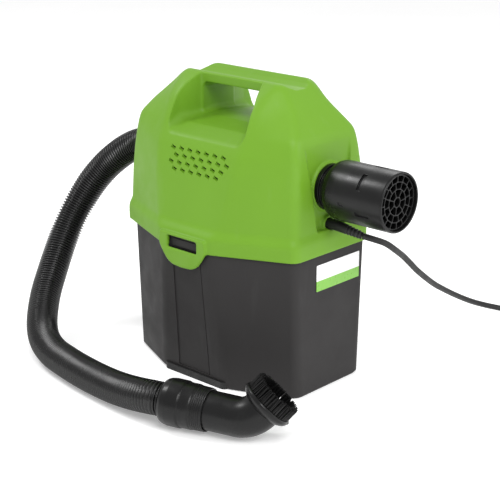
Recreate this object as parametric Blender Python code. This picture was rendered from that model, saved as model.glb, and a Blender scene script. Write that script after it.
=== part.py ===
"""Portable workshop vacuum: a tank, a lift-off motor head, a hose with a brush, and a mains lead.

Units are metres, +Z is up. The origin is the middle of the tank's flat underside.
+X is the exhaust end, -X is the hose end, and -Y is the front with its latch tab.
"""
import math

import bmesh
import bpy
from mathutils import Matrix, Vector

# ---- driving dimensions -------------------------------------------------------------------
GAP = 0.0003                 # clearance between pieces that touch
WALL = 0.003                 # moulded wall of the head
TANK_WALL = 0.0028
RIM_Z = 0.181                # lower edge of the head's skirt
TANK_TOP = 0.196             # upper edge of the tank
PLATE_Z = 0.1985             # underside of the plate that closes the head
PLATE_THICK = 0.003
TOP_Z = 0.385                # highest point of the handle ridges
PORT_Z = 0.263               # height of the hose socket and of the exhaust neck
GLAND_Z = 0.216              # height of the mains lead's outlet
POCKET_X = 0.1335            # floor of the shallow pocket in the exhaust end of the head
INLET_EXTRA = 0.006          # how much further the head reaches at the hose end
TAB_Y = 0.1205               # outer face of the latch tab
BAR_UNDER_Z = 0.372          # underside of the handle bar
GRIP_FLOOR_Z = 0.333         # floor of the hand opening at its middle
GRIP_HALF = 0.050            # half the width of the hand opening
GRIP_SHIFT = 0.0025          # how far its scoops sit toward the exhaust end

HOSE_R = 0.021
CUFF_R = 0.029
CORD_R = 0.004
BARREL_R = 0.037
NECK_R = 0.0263
LIP_R = 0.0305                # green collar round each port
BARREL_START = 0.1500
BARREL_END = 0.244

COIL_CENTRE = (0.262, 0.444)
COIL_MID_R = 0.048           # radius at the middle of the turns
COIL_HALF = 0.016            # half the width and half the height of the wound bundle
COIL_BASE_Z = 0.0018
STRAP_SLACK = 0.0007         # the flat strap stands off the round inside of the coil

# Plan sections of the tank and of the head: height, half-width of the front face,
# its distance from the middle, half-length of the body, half-width of the end face.
TANK_SECTIONS = [
    (0.0000, 0.0560, 0.0955, 0.1395, 0.0595),
    (0.0030, 0.0575, 0.0980, 0.1420, 0.0610),
    (0.1780, 0.0410, 0.1132, 0.1420, 0.0672),
    (TANK_TOP, 0.0402, 0.1136, 0.1420, 0.0675),
]
HEAD_SECTIONS = [
    (RIM_Z, 0.0410, 0.1175, 0.1455, 0.0700),
    (0.1995, 0.0430, 0.1165, 0.1455, 0.0700),
    (0.2040, 0.0460, 0.1140, 0.1448, 0.0690),
    (0.2095, 0.0520, 0.1080, 0.1418, 0.0668),
    (0.2530, 0.0620, 0.1000, 0.1405, 0.0650),
    (0.2810, 0.0660, 0.0950, 0.1385, 0.0630),
    (0.3030, 0.0690, 0.0890, 0.1360, 0.0610),
    (0.3180, 0.0700, 0.0815, 0.1335, 0.0595),
    (0.3270, 0.0700, 0.0780, 0.1310, 0.0575),
    (0.3420, 0.0700, 0.0720, 0.1205, 0.0460),
    (0.3565, 0.0710, 0.0650, 0.1090, 0.0350),
    (0.3700, 0.0740, 0.0530, 0.0960, 0.0300),
    (0.3800, 0.0770, 0.0390, 0.0870, 0.0280),
    (TOP_Z, 0.0770, 0.0300, 0.0810, 0.0250),
]
FRONT_CORNER_R = 0.035
END_CORNER_R = 0.016

# Centre line of the hose between its two cuffs, from the head to the nozzle.
HOSE_ROUTE = [
    (-0.1790, 0.0000, 0.2630), (-0.1950, 0.0000, 0.2628), (-0.2110, -0.0030, 0.2570),
    (-0.2300, -0.0085, 0.2450), (-0.2530, -0.0160, 0.2250), (-0.2700, -0.0270, 0.2020),
    (-0.2810, -0.0390, 0.1780), (-0.2870, -0.0530, 0.1540), (-0.2875, -0.0690, 0.1300),
    (-0.2830, -0.0870, 0.1060), (-0.2740, -0.1070, 0.0840), (-0.2605, -0.1300, 0.0630),
    (-0.2420, -0.1520, 0.0450), (-0.2200, -0.1715, 0.0320), (-0.1930, -0.1880, 0.0245),
    (-0.1600, -0.2010, 0.0216), (-0.1250, -0.2090, 0.0213), (-0.0900, -0.2150, 0.0213),
    (-0.0550, -0.2190, 0.0214), (-0.0200, -0.2222, 0.0227), (0.0100, -0.2240, 0.0254),
    (0.0360, -0.2244, 0.0288), (0.0545, -0.2225, 0.0308), (0.0689, -0.2177, 0.0305),
]
# Centre line of the mains lead from its sleeve to the coil.
CORD_ROUTE = [
    (0.1830, 0.0105, 0.2068), (0.1920, 0.0185, 0.2032), (0.1990, 0.0345, 0.1955),
    (0.1975, 0.0560, 0.1820), (0.1890, 0.0860, 0.1640), (0.1810, 0.1140, 0.1450),
    (0.1720, 0.1450, 0.1240), (0.1580, 0.2000, 0.0900), (0.1495, 0.2420, 0.0670),
    (0.1450, 0.2800, 0.0470), (0.1450, 0.3150, 0.0295), (0.1500, 0.3450, 0.0165),
    (0.1640, 0.3690, 0.0080), (0.1850, 0.3810, 0.0046), (0.2070, 0.3840, 0.0043),
    (0.2310, 0.3840, 0.0043),
]
# Centre line of the short stretch from the coil to the plug.
TAIL_ROUTE = [
    (0.2310, 0.5040, 0.0298), (0.2200, 0.5040, 0.0278), (0.2080, 0.5040, 0.0235),
    (0.1960, 0.5040, 0.0197), (0.1850, 0.5040, 0.0182), (0.1738, 0.5040, 0.0180),
]

# ---- scene and materials ------------------------------------------------------------------
for old in list(bpy.data.objects):
    bpy.data.objects.remove(old, do_unlink=True)


def make_material(name, colour, roughness, metallic=0.0):
    """Return a Principled material in one colour."""
    material = bpy.data.materials.new(name)
    material.use_nodes = True
    shader = material.node_tree.nodes["Principled BSDF"]
    shader.inputs["Base Color"].default_value = (*colour, 1.0)
    shader.inputs["Roughness"].default_value = roughness
    shader.inputs["Metallic"].default_value = metallic
    material.diffuse_color = (*colour, 1.0)
    return material


GREEN = make_material("green_plastic", (0.22, 0.48, 0.04), 0.42)
SMOKE = make_material("smoke_plastic", (0.045, 0.042, 0.042), 0.38)
BLACK = make_material("black_plastic", (0.012, 0.012, 0.012), 0.35)
RUBBER = make_material("black_rubber", (0.010, 0.010, 0.010), 0.60)
WHITE = make_material("label_film", (0.80, 0.80, 0.80), 0.40)
STEEL = make_material("zinc_steel", (0.55, 0.55, 0.56), 0.35, 1.0)
ALLOY = make_material("cast_alloy", (0.60, 0.60, 0.60), 0.45, 1.0)
COPPER = make_material("copper_wire", (0.65, 0.28, 0.12), 0.40, 1.0)
CARBON = make_material("carbon", (0.03, 0.03, 0.03), 0.70)
PAPER = make_material("filter_paper", (0.62, 0.58, 0.48), 0.90)
BRISTLE = make_material("bristle", (0.012, 0.012, 0.012), 0.55)


# ---- modelling tools ----------------------------------------------------------------------
def add_object(name, bm, material):
    """Turn a bmesh into a named object with outward faces."""
    bmesh.ops.recalc_face_normals(bm, faces=bm.faces)
    mesh = bpy.data.meshes.new(name)
    bm.to_mesh(mesh)
    bm.free()
    mesh.shade_smooth()
    mesh.set_sharp_from_angle(angle=math.radians(35))
    obj = bpy.data.objects.new(name, mesh)
    bpy.context.scene.collection.objects.link(obj)
    obj.data.materials.append(material)
    return obj


def loft(name, rings, material):
    """Skin equal rings of points and close both ends."""
    bm = bmesh.new()
    loops = [[bm.verts.new(p) for p in ring] for ring in rings]
    for low, high in zip(loops, loops[1:]):
        for i in range(len(low)):
            j = (i + 1) % len(low)
            bm.faces.new((low[i], low[j], high[j], high[i]))
    bm.faces.new(reversed(loops[0]))
    bm.faces.new(loops[-1])
    return add_object(name, bm, material)


def closed_loft(name, rings, material):
    """Skin equal rings of points into an endless band."""
    bm = bmesh.new()
    loops = [[bm.verts.new(p) for p in ring] for ring in rings]
    for k, low in enumerate(loops):
        high = loops[(k + 1) % len(loops)]
        for i in range(len(low)):
            j = (i + 1) % len(low)
            bm.faces.new((low[i], low[j], high[j], high[i]))
    return add_object(name, bm, material)


def frame_along(origin, direction, side=(0.0, 0.0, 1.0)):
    """Return the placing matrix whose local Z runs along a direction."""
    z_axis = Vector(direction).normalized()
    helper = Vector(side)
    if abs(z_axis.dot(helper)) > 0.95:
        helper = Vector((0.0, 1.0, 0.0))
    x_axis = helper.cross(z_axis).normalized()
    y_axis = z_axis.cross(x_axis)
    matrix = Matrix((x_axis, y_axis, z_axis)).transposed().to_4x4()
    matrix.translation = Vector(origin)
    return matrix


def turned(name, profile, material, place=None, sides=32):
    """Spin a closed (radius, height) outline; points on the axis become poles."""
    bm = bmesh.new()
    columns = []
    for radius, height in profile:
        if radius < 1e-6:
            columns.append([bm.verts.new((0.0, 0.0, height))])
            continue
        angles = (2 * math.pi * k / sides for k in range(sides))
        columns.append([bm.verts.new((radius * math.cos(a), radius * math.sin(a), height)) for a in angles])
    for here, there in zip(columns, columns[1:] + columns[:1]):
        if len(here) == 1 and len(there) == 1:
            continue
        for k in range(sides):
            m = (k + 1) % sides
            if len(here) == 1:
                bm.faces.new((here[0], there[k], there[m]))
            elif len(there) == 1:
                bm.faces.new((here[k], here[m], there[0]))
            else:
                bm.faces.new((here[k], here[m], there[m], there[k]))
    if place is not None:
        bm.transform(place)
    return add_object(name, bm, material)


def tube_profile(outer, inner, low, high):
    """Outline of a plain ring."""
    return [(outer, low), (outer, high), (inner, high), (inner, low)]


def bore(name, radius, low, high, place=None, sides=24):
    """Solid rod that drills a hole."""
    return turned(name, [(0, low), (radius, low), (radius, high), (0, high)], BLACK, place, sides)


def prism(name, outline, low, high, material, place=None):
    """Extrude a flat outline of (x, y) points along Z."""
    bm = bmesh.new()
    bottom = [bm.verts.new((x, y, low)) for x, y in outline]
    top = [bm.verts.new((x, y, high)) for x, y in outline]
    bm.faces.new(reversed(bottom))
    bm.faces.new(top)
    for i in range(len(outline)):
        j = (i + 1) % len(outline)
        bm.faces.new((bottom[i], bottom[j], top[j], top[i]))
    if place is not None:
        bm.transform(place)
    return add_object(name, bm, material)


def box(name, low, high, material, place=None):
    """A block between two corners."""
    outline = [(low[0], low[1]), (high[0], low[1]), (high[0], high[1]), (low[0], high[1])]
    return prism(name, outline, low[2], high[2], material, place)


def rounded_outline(half_x, half_y, radius, steps=4):
    """Rectangle about the middle with round corners."""
    points = []
    for sx, sy, start in ((1, 1, 0), (-1, 1, 90), (-1, -1, 180), (1, -1, 270)):
        for k in range(steps + 1):
            angle = math.radians(start + 90 * k / steps)
            points.append((sx * (half_x - radius) + radius * math.cos(angle),
                           sy * (half_y - radius) + radius * math.sin(angle)))
    return points


def as_cutter(obj):
    """Hide a helper solid that only shapes another one."""
    obj.hide_render = True
    obj.display_type = "WIRE"
    return obj


def combine(target, tool, operation):
    """Add a Boolean modifier to target and hide its tool; the many-holed head needs MANIFOLD."""
    modifier = target.modifiers.new(operation.title(), "BOOLEAN")
    modifier.operation = operation
    modifier.solver = "MANIFOLD" if target.name.startswith("head_") else "EXACT"
    modifier.object = as_cutter(tool)
    return target


def cut(target, *tools):
    """Subtract each tool."""
    for tool in tools:
        combine(target, tool, "DIFFERENCE")
    return target


def join(target, *tools):
    """Unite each tool with the target."""
    for tool in tools:
        combine(target, tool, "UNION")
    return target


def body_ring(section, inset=0.0, longer=0.0, steps=3):
    """One plan section with eight soft corners, pulled in by inset, with a longer hose end."""
    height, front_half, front_y, end_x, end_half = section
    slope = math.atan2(front_y - end_half, end_x - front_half)
    front_half -= inset * math.tan(slope / 2)
    end_half -= inset * math.tan((math.pi / 2 - slope) / 2)
    front_y -= inset
    end_x -= inset
    corners = [(end_x, -end_half, END_CORNER_R), (end_x, end_half, END_CORNER_R),
               (front_half, front_y, FRONT_CORNER_R), (-front_half, front_y, FRONT_CORNER_R),
               (-end_x - longer, end_half + longer / 3, END_CORNER_R),
               (-end_x - longer, -end_half - longer / 3, END_CORNER_R),
               (-front_half, -front_y, FRONT_CORNER_R), (front_half, -front_y, FRONT_CORNER_R)]
    ring = []
    for i, (x, y, radius) in enumerate(corners):
        here = Vector((x, y))
        before = Vector(corners[i - 1][:2]) - here
        after = Vector(corners[(i + 1) % 8][:2]) - here
        turn = math.pi - before.angle(after)
        reach = min((radius - inset / 2) * math.tan(turn / 2), 0.42 * before.length, 0.42 * after.length)
        start = here + before.normalized() * reach
        end = here + after.normalized() * reach
        for k in range(steps + 1):
            t = k / steps
            point = start * (1 - t) ** 2 + here * 2 * t * (1 - t) + end * t * t
            ring.append((point.x, point.y, height))
    return ring


def head_ring(height, inset=0.0):
    """Plan outline of the head at a height; the extra length fades out under the handle."""
    fade = min(1.0, max(0.0, (TOP_Z - height) / 0.040))
    return body_ring(section_at(HEAD_SECTIONS, height), inset, INLET_EXTRA * fade)


def section_at(sections, height):
    """Plan section at a height, between the listed ones."""
    for low, high in zip(sections, sections[1:]):
        if height <= high[0]:
            t = max(0.0, (height - low[0]) / (high[0] - low[0]))
            return (height, *(a + (b - a) * t for a, b in zip(low[1:], high[1:])))
    return (height, *sections[-1][1:])


def smooth_path(points, spacing):
    """Points at even spacing on a smooth curve through the route."""
    route = [Vector(p) for p in points]
    ends = [route[0] * 2 - route[1]] + route + [route[-1] * 2 - route[-2]]
    dense = []
    for a, b, c, d in zip(ends, ends[1:], ends[2:], ends[3:]):
        for k in range(24):
            t = k / 24
            dense.append(0.5 * (2 * b + (c - a) * t + (2 * a - 5 * b + 4 * c - d) * t * t
                                + (3 * b - a - 3 * c + d) * t ** 3))
    dense.append(route[-1])
    total = sum((q - p).length for p, q in zip(dense, dense[1:]))
    count = max(2, round(total / spacing))
    wanted, travelled, result = 1, 0.0, [dense[0]]
    for p, q in zip(dense, dense[1:]):
        step = (q - p).length
        while wanted < count and travelled + step >= wanted * total / count:
            t = (wanted * total / count - travelled) / step
            result.append(p.lerp(q, t))
            wanted += 1
        travelled += step
    result.append(dense[-1])
    return result


def cord_tube(name, points, radius, spacing, resolution, material, radii=None):
    """Round tube along a smooth curve, closed at both ends."""
    path = smooth_path(points, spacing)
    curve = bpy.data.curves.new(name, "CURVE")
    curve.dimensions = "3D"
    curve.bevel_depth = radius
    curve.bevel_resolution = resolution
    curve.use_fill_caps = True
    spline = curve.splines.new("POLY")
    spline.points.add(len(path) - 1)
    for k, point in enumerate(path):
        spline.points[k].co = (*point, 1.0)
        if radii is not None:
            t = k / (len(path) - 1)
            spline.points[k].radius = radii[0] + (radii[1] - radii[0]) * t
    obj = bpy.data.objects.new(name, curve)
    bpy.context.scene.collection.objects.link(obj)
    obj.data.materials.append(material)
    return obj


def pipe(name, path, outer, inner, material, sides=24):
    """Hollow pipe swept along a flat bend, open at both ends."""
    points = [Vector(p) for p in path]
    plane = (points[1] - points[0]).cross(points[-1] - points[-2])
    if plane.length < 1e-8:
        plane = (points[1] - points[0]).cross(points[len(points) // 2] - points[0])
    plane.normalize()
    rings = []
    for k, point in enumerate(points):
        before = points[k] - points[k - 1] if k else points[1] - points[0]
        after = points[k + 1] - points[k] if k < len(points) - 1 else before
        tangent = (before.normalized() + after.normalized()).normalized()
        across = tangent.cross(plane).normalized()
        angles = [2 * math.pi * m / sides for m in range(sides)]
        rings.append([[point + (plane * math.cos(a) + across * math.sin(a)) * r for a in angles]
                      for r in (outer, inner)])
    loop = [ring[0] for ring in rings] + [ring[1] for ring in reversed(rings)]
    return closed_loft(name, loop, material)


def bend(start, direction, end_direction, radius, steps=6):
    """Points of a circular bend that turns one direction into another."""
    first = Vector(direction).normalized()
    last = Vector(end_direction).normalized()
    angle = first.angle(last)
    inward = (last - first * math.cos(angle)).normalized()
    origin = Vector(start)
    return [origin + first * radius * math.sin(angle * k / steps)
            + inward * radius * (1 - math.cos(angle * k / steps)) for k in range(steps + 1)]


# ---- tank ---------------------------------------------------------------------------------
FOOT_HALF = 0.055
FOOT_HEIGHT = 0.009
FOOT_DEPTH = 0.016
FOOT_PROUD = 0.0035
CHANNEL_HALF = 0.025


def foot_outline(grow):
    """Plan of a foot bar with round ends, larger by grow."""
    middle = 0.098 + FOOT_PROUD - FOOT_DEPTH / 2
    half = FOOT_DEPTH / 2 + grow
    return [(x, y - middle) for x, y in rounded_outline(FOOT_HALF + grow, half, 0.007 + grow, 4)]


def build_tank():
    """Open tank with a flat base, a shallow channel under each tab, feet and a label."""
    tank = loft("tank", [body_ring(s) for s in TANK_SECTIONS], SMOKE)
    inside = [body_ring(section_at(TANK_SECTIONS, z), TANK_WALL) for z in (TANK_WALL, 0.010, 0.178, 0.205)]
    cut(tank, loft("tank_inside", inside, SMOKE))
    for side, word in ((-1, "front"), (1, "rear")):
        turn = Matrix.Rotation(0 if side < 0 else math.pi, 4, "Z")
        lean = math.atan2(0.1132 - 0.098, 0.175)
        place = turn @ Matrix.Translation((0, -0.098, 0)) @ Matrix.Rotation(lean, 4, "X")
        cut(tank, box(f"channel_{word}", (-CHANNEL_HALF, -0.010, 0.012), (CHANNEL_HALF, 0.0012, 0.150),
                      SMOKE, place))
        hook = box(f"latch_hook_{word}", (-0.021, -0.1148, 0.181), (0.021, -0.1120, 0.190), SMOKE, turn)
        join(tank, hook)
        cut(tank, prism(f"foot_seat_{word}", foot_outline(GAP), -0.005, FOOT_HEIGHT + GAP, SMOKE, turn))
        prism(f"{word}_foot", foot_outline(0.0), 0.0, FOOT_HEIGHT, RUBBER, turn)
    box("tank_label", (0.1420 + GAP, -0.028, 0.1345), (0.1420 + GAP + 0.0006, 0.055, 0.1685), WHITE)
    return tank


# ---- head housing -------------------------------------------------------------------------
def grip_cutter(name, margin):
    """Hand opening that runs through the head and flares at both faces."""
    # distance from the middle, half-width, floor, roof, corner radius
    stations = [(0.000, GRIP_HALF, GRIP_FLOOR_Z, BAR_UNDER_Z - 0.001, 0.008),
                (0.0285, GRIP_HALF + 0.001, GRIP_FLOOR_Z - 0.0015, BAR_UNDER_Z, 0.008),
                (0.0310, GRIP_HALF + 0.003, GRIP_FLOOR_Z - 0.0020, BAR_UNDER_Z + 0.020, 0.008),
                (0.0600, GRIP_HALF + 0.014, GRIP_FLOOR_Z - 0.007, BAR_UNDER_Z + 0.024, 0.012),
                (0.0800, GRIP_HALF + 0.0155, GRIP_FLOOR_Z - 0.017, BAR_UNDER_Z + 0.024, 0.012),
                (0.0950, GRIP_HALF + 0.017, GRIP_FLOOR_Z - 0.028, BAR_UNDER_Z + 0.024, 0.012)]
    ordered = [(-y, *rest) for y, *rest in reversed(stations[1:])] + [tuple(s) for s in stations]
    rings = []
    for y, half, floor, roof, corner in ordered:
        half, floor, roof = half + margin, floor - margin, roof + margin
        outline = rounded_outline(half, (roof - floor) / 2, corner, 3)
        middle = GRIP_SHIFT * min(1.0, abs(y) / 0.060)
        rings.append([(x + middle, y, z + (roof + floor) / 2) for x, z in outline])
    return loft(name, rings, GREEN)


def pocket_cutter(name, side, margin):
    """Wedge-shaped pocket in one end of the head, wider towards the top."""
    low_half, top_half, low, top = 0.026 + margin, 0.047 + margin, 0.2110 - margin, 0.338 + margin
    outline = [(-low_half, low), (low_half, low), (top_half, top), (-top_half, top)]
    floor = POCKET_X - margin + (INLET_EXTRA if side < 0 else 0.0)
    return loft(name, [[(side * x, y, z) for y, z in outline] for x in (floor, 0.170)], GREEN)


def tab_outline():
    """Latch tab seen from the front: a wide lobe with a round lower edge."""
    right = [(0.0400, 0.1985), (0.0410, 0.1860), (0.0395, 0.1795), (0.0330, 0.1700), (0.0260, 0.1618),
             (0.0175, 0.1575), (0.0090, 0.1562)]
    return right + [(-x, z) for x, z in reversed(right)]


def build_housing():
    """Green head shell: skirt, latch tabs, hand opening, vents and ports."""
    housing = loft("head_housing", [head_ring(s[0]) for s in HEAD_SECTIONS], GREEN)
    upright = Matrix.Rotation(math.pi / 2, 4, "X")
    for word, turn in (("front", Matrix.Identity(4)), ("rear", Matrix.Rotation(math.pi, 4, "Z"))):
        plate = prism(f"tab_{word}", tab_outline(), 0.1166, TAB_Y, GREEN, turn @ upright)
        join(housing, plate)
    for side, word in ((1, "exhaust"), (-1, "inlet")):
        cut(housing, pocket_cutter(f"pocket_{word}", side, 0.0))
        place = frame_along((0, 0, PORT_Z), (side, 0, 0))
        floor = POCKET_X + (INLET_EXTRA if side < 0 else 0.0)
        join(housing, bore(f"lip_{word}", LIP_R, floor - 0.002, floor + 0.0035, place, 24))
        cut(housing, bore(f"port_hole_{word}", NECK_R + GAP, 0.10, 0.17, place, 24))
    gland_place = frame_along((0, 0, GLAND_Z), (1, 0, 0))
    low, high = POCKET_X - 0.002, POCKET_X + 0.005
    boss = [(0, low), (0.0115, low), (0.0105, high), (0, high)]
    join(housing, turned("gland_boss", boss, GREEN, gland_place, 20))
    cut(housing, bore("gland_hole", 0.0072, 0.10, 0.16, gland_place, 16))

    heights = [RIM_Z - 0.010] + [s[0] for s in HEAD_SECTIONS[1:11]]
    cavity = loft("head_cavity", [head_ring(z, WALL - 0.0002) for z in heights], GREEN)
    cut(cavity, grip_cutter("grip_wall", WALL), pocket_cutter("pocket_wall_exhaust", 1, WALL),
        pocket_cutter("pocket_wall_inlet", -1, WALL))
    cut(housing, cavity, grip_cutter("grip_opening", 0.0))

    valley = [(-0.024, 0.0), (-0.018, -0.0045), (-0.008, -0.0085), (0.008, -0.0085), (0.018, -0.0045),
              (0.024, 0.0), (0.024, 0.010), (-0.024, 0.010)]
    rings = [[(x, y, TOP_Z + z) for y, z in valley] for x in (-0.13, 0.13)]
    cut(housing, loft("handle_valley", rings, GREEN))

    for word, turn in (("front", Matrix.Identity(4)), ("rear", Matrix.Rotation(math.pi, 4, "Z"))):
        slot = box(f"tab_slot_{word}", (-0.0255, -0.125, 0.1790), (0.0255, -0.1110, 0.1945), GREEN, turn)
        cut(housing, slot)
    return housing


VENT_PITCH = 0.0144
VENT_ROW = 0.0085
VENT_TOP_Z = 0.2990
VENT_CENTRE_X = 0.005
VENT_TILT = 20
VENT_SIZE = (0.0068, 0.030, 0.0036)


def cut_vents(housing):
    """Four staggered rows of small slots through the front wall."""
    bm = bmesh.new()
    for row in range(4):
        columns = 7 if row < 3 else 6
        for column in range(columns):
            x = VENT_CENTRE_X + (column - 3) * VENT_PITCH + (VENT_PITCH / 4) * (1 if row % 2 else -1)
            place = (Matrix.Translation((x, -0.092, VENT_TOP_Z - row * VENT_ROW))
                     @ Matrix.Rotation(math.radians(VENT_TILT), 4, "Y")
                     @ Matrix.Diagonal((*VENT_SIZE, 1)))
            bmesh.ops.create_cube(bm, size=1.0, matrix=place)
    cut(housing, add_object("vents", bm, GREEN))


# ---- plate, filter and float --------------------------------------------------------------
DUCT_X = -0.096
DUCT_R = 0.0215
EYE_R = 0.0165


def build_plate_and_filter():
    """Closing plate of the head with its seal, and the filter unit that hangs below it."""
    top = PLATE_Z + PLATE_THICK
    plate_outline = head_ring(top, WALL + 0.0004)
    plate = loft("base_plate", [[(x, y, z) for x, y, _ in plate_outline] for z in (PLATE_Z, top)], BLACK)
    cut(plate, bore("duct_hole", DUCT_R + GAP, 0.19, 0.21, Matrix.Translation((DUCT_X, 0, 0))),
        bore("eye_hole", EYE_R, 0.19, 0.21))
    seal_low, seal_high = TANK_TOP + GAP, PLATE_Z - GAP
    outer = [(x, y) for x, y, _ in body_ring(TANK_SECTIONS[-1], 0.0002)]
    inner = [(x, y) for x, y, _ in body_ring(TANK_SECTIONS[-1], 0.0050)]
    rings = [(outer, seal_low), (outer, seal_high), (inner, seal_high), (inner, seal_low)]
    closed_loft("rim_seal", [[(x, y, z) for x, y in outline] for outline, z in rings], RUBBER)

    cage_top = PLATE_Z - GAP
    cage = turned("filter_cage", [(0.050, cage_top), (0.024, cage_top), (0.024, cage_top - 0.004),
                                  (0.0305, cage_top - 0.008), (0.0305, 0.108), (0.0, 0.108), (0.0, 0.105),
                                  (0.0335, 0.105), (0.0335, cage_top - 0.004), (0.050, cage_top - 0.004)],
                  BLACK, sides=32)
    for k in range(3):
        place = Matrix.Rotation(math.radians(60 * k + 15), 4, "Z")
        cut(cage, box(f"cage_window_{k}", (-0.040, -0.008, 0.118), (0.040, 0.008, 0.178), BLACK, place))
    turned("float_ball", [(0.0, 0.1085), *[(0.0195 * math.sin(a), 0.1280 - 0.0195 * math.cos(a))
                                           for a in (math.pi * k / 10 for k in range(1, 10))], (0.0, 0.1475)],
           WHITE, sides=18)
    pleats = 22
    star = []
    for k in range(2 * pleats):
        angle = math.pi * k / pleats
        radius = 0.0490 if k % 2 else 0.0415
        star.append((radius * math.cos(angle), radius * math.sin(angle)))
    inside = [(0.0337 * math.cos(math.pi * k / pleats), 0.0337 * math.sin(math.pi * k / pleats))
              for k in range(2 * pleats)]
    low, high = 0.1053, cage_top - 0.0045
    rings = [(star, low), (star, high), (inside, high), (inside, low)]
    closed_loft("filter_cartridge", [[(x, y, z) for x, y in outline] for outline, z in rings], PAPER)
    turned("filter_cap", [(0.0, 0.1047), (0.0500, 0.1047), (0.0500, 0.1010), (0.0140, 0.1000),
                          (0.0140, 0.0935), (0.0, 0.0935)], BLACK, sides=28)
    wing = [(-0.016, -0.0015), (0.016, -0.0015), (0.016, 0.0015), (-0.016, 0.0015)]
    nut = turned("filter_nut", [(0.0, 0.0932), (0.0075, 0.0932), (0.0065, 0.0850), (0.0, 0.0850)],
                 BLACK, sides=12)
    join(nut, prism("nut_wing", wing, 0.0830, 0.0930, BLACK))


# ---- ducts and ports ----------------------------------------------------------------------
def build_ports():
    """Hose socket with its duct into the tank, and the exhaust duct, neck, barrel and grille."""
    minus_x = frame_along((0, 0, PORT_Z), (-1, 0, 0))
    plus_x = frame_along((0, 0, PORT_Z), (1, 0, 0))
    flange = POCKET_X + INLET_EXTRA + 0.005
    turned("inlet_socket", [(NECK_R, 0.1180), (NECK_R, flange), (0.0310, flange), (0.0310, flange + 0.0035),
                            (0.0285, flange + 0.0115), (0.0235, flange + 0.0115), (0.0235, 0.1180)],
           BLACK, minus_x, 28)
    entry = Vector((-0.1176, 0, PORT_Z))
    radius = DUCT_X - entry.x
    path = bend(entry, (1, 0, 0), (0, 0, -1), radius, 6) + [Vector((DUCT_X, 0, 0.186))]
    pipe("inlet_duct", path, DUCT_R, DUCT_R - 0.0018, BLACK, 18)

    turned("exhaust_neck", [(NECK_R, 0.1180), (NECK_R, 0.1372), (0.0290, 0.1372), (0.0290, 0.1430),
                            (0.0262, 0.1430), (0.0262, 0.1620), (0.0232, 0.1620), (0.0232, 0.1180)],
           BLACK, plus_x, 32)
    first = Vector((0.0675, 0, 0.2240))
    out = [first, first + Vector((0.008, 0, 0.003)), Vector((0.092, 0, 0.243)), Vector((0.106, 0, 0.2610)),
           Vector((0.1176, 0, PORT_Z))]
    pipe("exhaust_duct", out, 0.0150, 0.0132, BLACK, 18)

    turned("exhaust_barrel",
           [(0.0266, BARREL_START), (0.0300, BARREL_START), (0.0352, BARREL_START + 0.0045),
            (BARREL_R, BARREL_START + 0.0100), (BARREL_R, BARREL_END - 0.0020),
            (BARREL_R - 0.001, BARREL_END), (0.0340, BARREL_END), (0.0340, BARREL_START + 0.0105),
            (0.0266, BARREL_START + 0.0045)],
           BLACK, plus_x, 36)
    grille = turned("exhaust_grille", [(0.0, 0.2350), (0.0337, 0.2350), (0.0337, 0.2400), (0.0, 0.2400)],
                    BLACK, plus_x, 36)
    bm = bmesh.new()
    for count, ring_radius, size, phase in ((14, 0.0265, 0.0042, 0.0), (7, 0.0145, 0.0042, 0.1)):
        for k in range(count):
            angle = 2 * math.pi * (k + phase) / count
            centre = (ring_radius * math.cos(angle), ring_radius * math.sin(angle), 0.2375)
            bmesh.ops.create_cone(bm, cap_ends=True, segments=6, radius1=size, radius2=size, depth=0.020,
                                  matrix=plus_x @ Matrix.Translation(centre) @ Matrix.Rotation(angle, 4, "Z"))
    cut(grille, add_object("grille_cells", bm, BLACK))


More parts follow.
